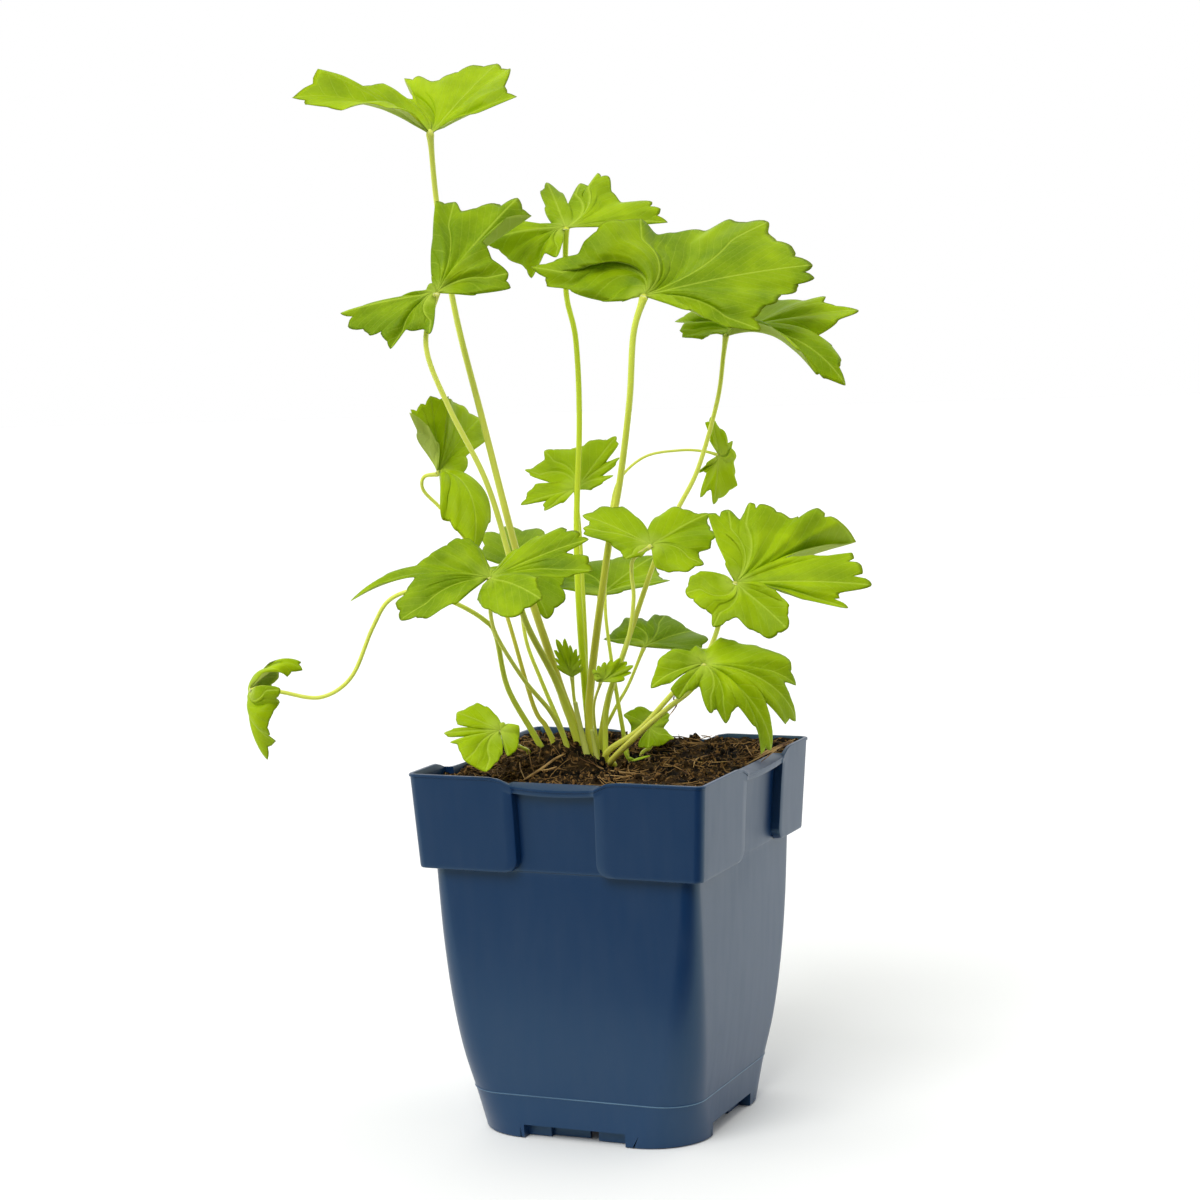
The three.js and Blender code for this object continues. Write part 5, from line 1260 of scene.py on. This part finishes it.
class Blade:
    """One leaf's blade: its rows of lobes, its own axes and the points of its sheet."""

    def __init__(self, leaf):
        filled = [(*row, *(USUAL_RISE, USUAL_DROOP)[len(row) - 3 :]) for row in leaf["lobes"]]
        self.rows = np.array(filled, float)
        self.ends = leaf.get("ends", USUAL_ENDS)
        self.teeth = leaf.get("tips", "pointed")
        self.tip = np.array(leaf["stalk"][-1], float)
        self.normal = np.array(leaf["face"], float)
        self.normal /= np.linalg.norm(self.normal)
        ahead = np.array([1.0, 0, 0] if abs(self.normal[2]) > 0.5 else [0, 0, 1.0])
        ahead -= (ahead @ self.normal) * self.normal
        self.ahead = ahead / np.linalg.norm(ahead)
        self.aside = np.cross(self.normal, self.ahead)
        # near the stalk all lines share one rise, so the blade starts as a shallow funnel
        self.funnel = np.radians(np.mean(self.rows[:, 3]) + FUNNEL_LIFT)
        self.depth = np.tan(np.clip(self.funnel, 0.1, 1.1))

    def columns(self):
        """Lines from the stalk's tip to the outline: their turn, and their share of the reach there."""
        turn, notch = self.rows[:, 0], self.rows[:, 2]
        x = np.arange(TOOTH_COLUMNS) / TOOTH_COLUMNS
        between = turn[:-1, None] + np.diff(turn)[:, None] * x
        bite = tooth(np.where(x < 0.5, 2 * x, 2 - 2 * x), self.teeth)
        share = notch[:-1, None] + (1 - notch[:-1, None]) * bite
        tail = np.arange(1, 9) / 8
        end = 0.06 + 0.94 * tooth(tail, "blunt")
        before, after = turn[0] - self.ends * tail, turn[-1] + self.ends * tail
        turns = [before[::-1], between.ravel(), turn[-1:], after]
        shares = [end[::-1], share.ravel(), [1.0], end]
        return np.concatenate(turns), np.concatenate(shares)

    def veins(self):
        """The lobes' tips, which are the rows that reach further than their neighbours, the turns halfway
        between them or at the lowest row there, and the turn of the main vein that each tip's vein
        branches from: the longest tip between two deep notches."""
        turn, reach = self.rows[:, 0], self.rows[:, 1]
        before = np.concatenate([[0], reach[:-1]])
        after = np.concatenate([reach[1:], [0]])
        tips = np.flatnonzero((reach >= before) & (reach > after))
        between = list(zip(tips[:-1], tips[1:]))
        low = np.array([a + np.argmin(reach[a : b + 1]) for a, b in between], int)
        deep = [reach[i] < DEEP_NOTCH * min(reach[a], reach[b]) for i, (a, b) in zip(low, between)]
        groups = np.concatenate([[0], np.cumsum(deep)]).astype(int)
        longest = [tips[groups == g][np.argmax(reach[tips[groups == g]])] for g in range(groups[-1] + 1)]
        halves = (turn[tips[:-1]] + turn[tips[1:]]) / 2
        halves = np.where(np.isin(low, tips), halves, turn[low])
        return turn[tips], halves, turn[np.array(longest)][groups]

    def sheet(self, turn, share, heading):
        """Points of the sheet: each line leaves the tip at its rise and bends down by its droop as part of
        a circle, and a low wave runs around the blade. The heading is the way that the line goes there."""
        rows = self.rows
        held = np.clip(turn, rows[0, 0], rows[-1, 0])
        i = np.clip(np.searchsorted(rows[:, 0], held, side="right") - 1, 0, len(rows) - 2)
        t = smoothstep((held - rows[i, 0]) / (rows[i + 1, 0] - rows[i, 0]))
        reach, start, bend = (rows[i, k] * (1 - t) + rows[i + 1, k] * t for k in (1, 3, 4))
        start, bend = np.radians(start), np.maximum(np.radians(bend), 1e-3)
        start = self.funnel + (start - self.funnel) * smoothstep(reach * share / FUNNEL_REACH)
        end = start - bend * share
        wave = WAVE_HEIGHT * np.sin(np.radians(WAVE_COUNT * turn)) * share**2
        out = reach * (np.sin(start) - np.sin(end)) / bend - wave * np.sin(end)
        up = reach * (np.cos(end) - np.cos(start)) / bend + wave * np.cos(end)
        a = np.radians(heading)[..., None]
        flat = out[..., None] * (np.cos(a) * self.ahead + np.sin(a) * self.aside)
        return self.tip + flat + up[..., None] * self.normal, reach

    def make(self):
        """Upper and lower faces, closed along the outline, and how far each point lies beside its nearest
        vein and along it. Veins branch from the main veins, so the lines lean towards those near the
        stalk, and the skin swells between the veins."""
        turn, edge = self.columns()
        tips, halves, mains = self.veins()
        near = np.searchsorted(halves, turn)
        nearest, main = tips[near], mains[near]
        bounds = np.concatenate([[self.rows[0, 0] - self.ends], halves, [self.rows[-1, 0] + self.ends]])
        room = np.where(turn < nearest, nearest - bounds[near], bounds[near + 1] - nearest)
        ahead = np.clip(np.searchsorted(tips, turn), 1, max(len(tips) - 1, 1))
        x = (turn - tips[ahead - 1]) / np.maximum(tips[ahead % len(tips)] - tips[ahead - 1], 1)
        middle = mains[ahead - 1] + (mains[ahead % len(tips)] - mains[ahead - 1]) * smoothstep(x)
        ring = np.linspace(0, 1, RINGS + 1)[1:, None]
        share = ring * edge
        spread = 0.35 + 0.65 * np.clip(ring / 0.7, 0, 1) ** 1.3
        bent = middle + (turn - middle) * spread
        vein = main + (nearest - main) * spread
        own = turn + 0 * bent
        place, reach = self.sheet(own, share, bent)
        step_out = self.sheet(own, share + 0.01, bent)[0] - self.sheet(own, share - 0.01, bent)[0]
        step_round = self.sheet(own + 0.5, share, bent + 0.5)[0]
        step_round = step_round - self.sheet(own - 0.5, share, bent - 0.5)[0]
        normal = np.cross(step_out, step_round)
        normal /= np.linalg.norm(normal, axis=-1, keepdims=True)
        along = reach * share
        beside = np.abs(np.radians(bent - vein)) * along
        width = np.radians(np.maximum(room, 1)) * along
        puff = smoothstep(beside / np.maximum(width * 0.8, 0.5)) * np.minimum(width * 0.2, PUFF_HEIGHT)
        fade = smoothstep((1 - ring) / 0.25)
        place = place + normal * (puff * (0.3 + 0.7 * fade))[..., None]
        thick = BLADE / 2 * np.sqrt(np.clip((1 - ring) / 0.12, 0.0, 1))[..., None] * np.ones_like(place)
        thick[:, [0, -1]] = 0
        ridge = RIDGE_HEIGHT * np.exp(-((beside / RIDGE_WIDTH) ** 2)) * (1 - 0.7 * ring)
        upper = place + normal * thick
        under = place - normal * (thick + np.where(thick > 0, ridge[..., None], 0))
        return upper, under, {"beside": beside, "along": along}

    def mesh(self):
        """Points, faces of the upper and of the lower side, and the marks of the points."""
        upper, under, marks = self.make()
        rings, columns, _ = upper.shape
        top = 1 + np.arange(rings * columns).reshape(rings, columns)
        low = top.copy()
        inside = np.zeros((rings, columns), bool)
        inside[:-1, 1:-1] = True
        low[inside] = 1 + rings * columns + np.arange(inside.sum())
        points = np.concatenate([self.tip[None], upper.reshape(-1, 3), under[inside]])
        faces = []
        for index, flip in ((top, False), (low, True)):
            quads = np.stack([index[:-1, :-1], index[1:, :-1], index[1:, 1:], index[:-1, 1:]], axis=-1)
            tips = np.stack([np.zeros(columns - 1, int), index[0, :-1], index[0, 1:]], axis=-1)
            for face in (quads.reshape(-1, 4), tips):
                faces.append(face[:, ::-1] if flip else face)
        values = {
            key: np.concatenate([[0.0], value.ravel(), value[inside]]) for key, value in marks.items()
        }
        return points, faces, [0, 0, 1, 1], values


def stalk_mesh(leaf, end):
    """A stalk with low ribs: rings along the curve through its points, closer together near its top. It
    thins upwards, fastest at its foot, widens below the blade and closes along end, which is in its own
    radii and fills the blade's funnel."""
    t = 1 - np.linspace(1, 0, STALK_RINGS * len(leaf["stalk"])) ** 1.6
    path = curve_through(leaf["stalk"], t)
    left = np.linalg.norm(path - path[-1], axis=1)
    foot, top = leaf["girth"]
    radius = (foot + t * (top - foot)) * (1 + 0.8 * (1 - t) ** 4)
    radius *= 1 + NECK_SWELL * np.exp(-left / NECK_LENGTH)
    path = np.concatenate([path, path[-1] + radius[-1] * np.outer([0.6, 1.0], end)])
    radius = np.concatenate([radius, radius[-1] * np.array([0.85, 0.2])])
    t = np.concatenate([t, [1, 1]])
    along = np.gradient(path, axis=0)
    along /= np.linalg.norm(along, axis=1, keepdims=True)
    side = np.cross(along, [0.31, -0.95, 0.05])
    side /= np.linalg.norm(side, axis=1, keepdims=True)
    other = np.cross(along, side)
    angle = 2 * math.pi * np.arange(STALK_SIDES) / STALK_SIDES
    rib = 1 + RIB_HEIGHT * np.cos(RIB_COUNT * angle) - 0.03
    around = side[:, None] * np.cos(angle)[:, None] + other[:, None] * np.sin(angle)[:, None]
    rings = path[:, None] + radius[:, None, None] * rib[:, None] * around
    points, faces = closed_skin(rings)
    share = np.concatenate([np.repeat(t, STALK_SIDES), [0, 1]])
    return points, faces, share


def leaf_pattern_group():
    """Green that varies over the blade, with lighter veins on it and pale where it grows from the stalk, as
    a colour and the height of the veins. The blade's tone mark shifts the green darker or lighter, partly as
    painted shade and painted light. It reads the blade's marks; Deep, Fresh and Vein are colours."""
    group, given, out = effect_group(
        "leaf_pattern",
        [("Deep", "Color"), ("Fresh", "Color"), ("Vein", "Color")],
        [("Colour", "Color"), ("Height", "Float")],
    )
    place = add_node(group, "ShaderNodeTexCoord").outputs["Object"]
    beside, along, tone = (
        add_node(group, "ShaderNodeAttribute", attribute_name=key).outputs["Fac"]
        for key in ("beside", "along", "tone")
    )

    def math_node(operation, *values, **settings):
        return add_node(
            group, "ShaderNodeMath", list(enumerate(values)), operation=operation, **settings
        ).outputs[0]

    def ramp(value, *ends):
        return add_node(group, "ShaderNodeMapRange", [("Value", value), *enumerate(ends, 1)]).outputs[0]

    def mix(share, first, second):
        return add_node(
            group, "ShaderNodeMix", [("Factor", share), (6, first), (7, second)], data_type="RGBA"
        ).outputs[2]

    patches = add_node(group, "ShaderNodeTexNoise", [("Vector", place), ("Scale", 65), ("Detail", 3)])
    # the leaf's tone shifts the green over the whole blade: partly its own colour, partly painted shade and
    # painted light
    shade = math_node("ADD", patches.outputs[0], tone)
    ground = mix(ramp(shade, 0.2, 0.8, 0, 1), given["Deep"], given["Fresh"])
    # side veins leave the nearest main vein at an angle, a few millimetres apart
    slant = math_node("MULTIPLY_ADD", beside, SIDE_VEIN_SLANT, along)
    wandering = math_node("MULTIPLY_ADD", patches.outputs[0], SIDE_VEIN_WANDER, slant)
    phase = math_node("PINGPONG", math_node("MULTIPLY", wandering, 2 / SIDE_VEIN_GAP), 1.0)
    side_veins = ramp(phase, 0.0, 0.16, 1, 0)
    main_veins = ramp(beside, 0.12, 0.5, 1, 0)
    cells = add_node(
        group, "ShaderNodeTexVoronoi", [("Vector", place), ("Scale", 700)], feature="DISTANCE_TO_EDGE"
    )
    net = ramp(cells.outputs[0], 0.0, 0.12, 1, 0)
    veins = math_node("MULTIPLY_ADD", side_veins, SIDE_VEIN_SHOW, main_veins)
    all_veins = math_node("MULTIPLY_ADD", net, NET_SHOW, veins)
    strength = math_node("MULTIPLY", all_veins, VEIN_SHOW, use_clamp=True)
    skin = mix(strength, ground, given["Vein"])
    # the blade is pale where it grows from the stalk
    whole = mix(ramp(along, 1.0, 7.0, 0.75, 0), skin, BLADE_FOOT)
    group.links.new(whole, out.inputs["Colour"])
    group.links.new(veins, out.inputs["Height"])
    return group


def leaf_green(name, pattern, ground, roughness, colours, sunk):
    """Soft leaf skin with the leaf's pattern in its own colours, and its veins sunk or standing out."""
    material = principled(
        name,
        ground,
        roughness,
        Specular_IOR_Level=0.1,
        Subsurface_Weight=0.12,
        Subsurface_Scale=0.001,
        Subsurface_Radius=(0.7, 1.0, 0.2),
    )
    tree = material.node_tree
    shader = tree.nodes["Principled BSDF"]
    skin = add_node(tree, "ShaderNodeGroup", zip(("Deep", "Fresh", "Vein"), colours), node_tree=pattern)
    dents = add_node(
        tree,
        "ShaderNodeBump",
        [("Height", skin.outputs["Height"]), ("Distance", 0.0003), ("Strength", 0.5)],
        invert=sunk,
    )
    tree.links.new(skin.outputs["Colour"], shader.inputs["Base Color"])
    tree.links.new(dents.outputs[0], shader.inputs["Normal"])
    return material


def stalk_skin():
    """Smooth pale green stalk skin, a little redder where the leaf's mark says so."""
    material = principled(
        "stalk_skin",
        STALK_PALE,
        0.42,
        Specular_IOR_Level=0.25,
        Subsurface_Weight=0.6,
        Subsurface_Scale=0.0015,
        Subsurface_Radius=(1.0, 1.0, 0.4),
    )
    tree = material.node_tree
    colour = STALK_PALE
    for key, tint in (("tone", STALK_GREEN), ("red", STALK_RED)):
        share = add_node(tree, "ShaderNodeAttribute", attribute_name=key).outputs["Fac"]
        colour = add_node(
            tree, "ShaderNodeMix", [("Factor", share), (6, colour), (7, tint)], data_type="RGBA"
        ).outputs[2]
    tree.links.new(colour, tree.nodes["Principled BSDF"].inputs["Base Color"])
    return material


pattern = leaf_pattern_group()
above = (DEEP_GREEN, FRESH_GREEN, VEIN_GREEN)
below = (UNDERSIDE, UNDERSIDE_LIGHT, UNDERSIDE_VEIN)
skins = [
    leaf_green("leaf_upper_side", pattern, GREEN, 0.5, above, True),
    leaf_green("leaf_underside", pattern, UNDERSIDE, 0.62, below, False),
    stalk_skin(),
]
for leaf in LEAVES:
    blade = Blade(leaf)
    blade_points, blade_faces, kinds, marks = blade.mesh()
    stalk_points, stalk_faces, share = stalk_mesh(leaf, blade.depth * blade.normal)
    points = np.concatenate([blade_points, stalk_points]) @ PLANT_AXES.T + [0, 0, CROWN_HEIGHT]
    faces = blade_faces + [face + len(blade_points) for face in stalk_faces]
    green = leaf.get("green", 0.3) + 0.5 * (1 - share) ** 3
    red = leaf.get("red", 0) * np.exp(-(((share - 0.3) / 0.25) ** 2))
    # the blade's tone: partly its own colour, partly painted shade on leaves behind and painted light on
    # leaves facing the dim front
    marks["tone"] = np.full(len(blade_points), leaf.get("tone", 0.0))
    marks["red"] = np.zeros(len(blade_points))
    extra = {"tone": green, "red": red}
    joined = {
        key: np.concatenate([value, extra.get(key, np.zeros(len(stalk_points)))])
        for key, value in marks.items()
    }
    piece = make_piece(
        leaf["name"] + "_grown", points, faces, skins, kinds + [2] * len(stalk_faces), joined
    )
    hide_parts(leaf["name"])

# The sheaths
# Pale membranous bases of older leaves, left standing like short spikes at the foot of the stalks. They
# are soft green tissue, like the stalks, and grow from the crown between them.
SHEATHS = [
    {
        "name": "crown_sheath_front",
        "stalk": [(-8.5, -7, -9), (-9, -7, 3), (-11, -6.5, 14), (-13, -6, 25)],
        "girth": (1.9, 0.5),
    },
    {
        "name": "crown_sheath_inner",
        "stalk": [(-5.5, -6, -9), (-5.5, -6.5, 1), (-6.5, -6.5, 8), (-7.5, -6.5, 15)],
        "girth": (1.6, 0.4),
    },
]
sheath_skin = principled("sheath_skin", linear(196, 204, 96), 0.5, Specular_IOR_Level=0.25)
for sheath in SHEATHS:
    points, faces, _ = stalk_mesh(sheath, [0, 0, 1])
    piece = make_piece(
        sheath["name"] + "_grown", points @ PLANT_AXES.T + [0, 0, CROWN_HEIGHT], faces, [sheath_skin]
    )
    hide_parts(sheath["name"])
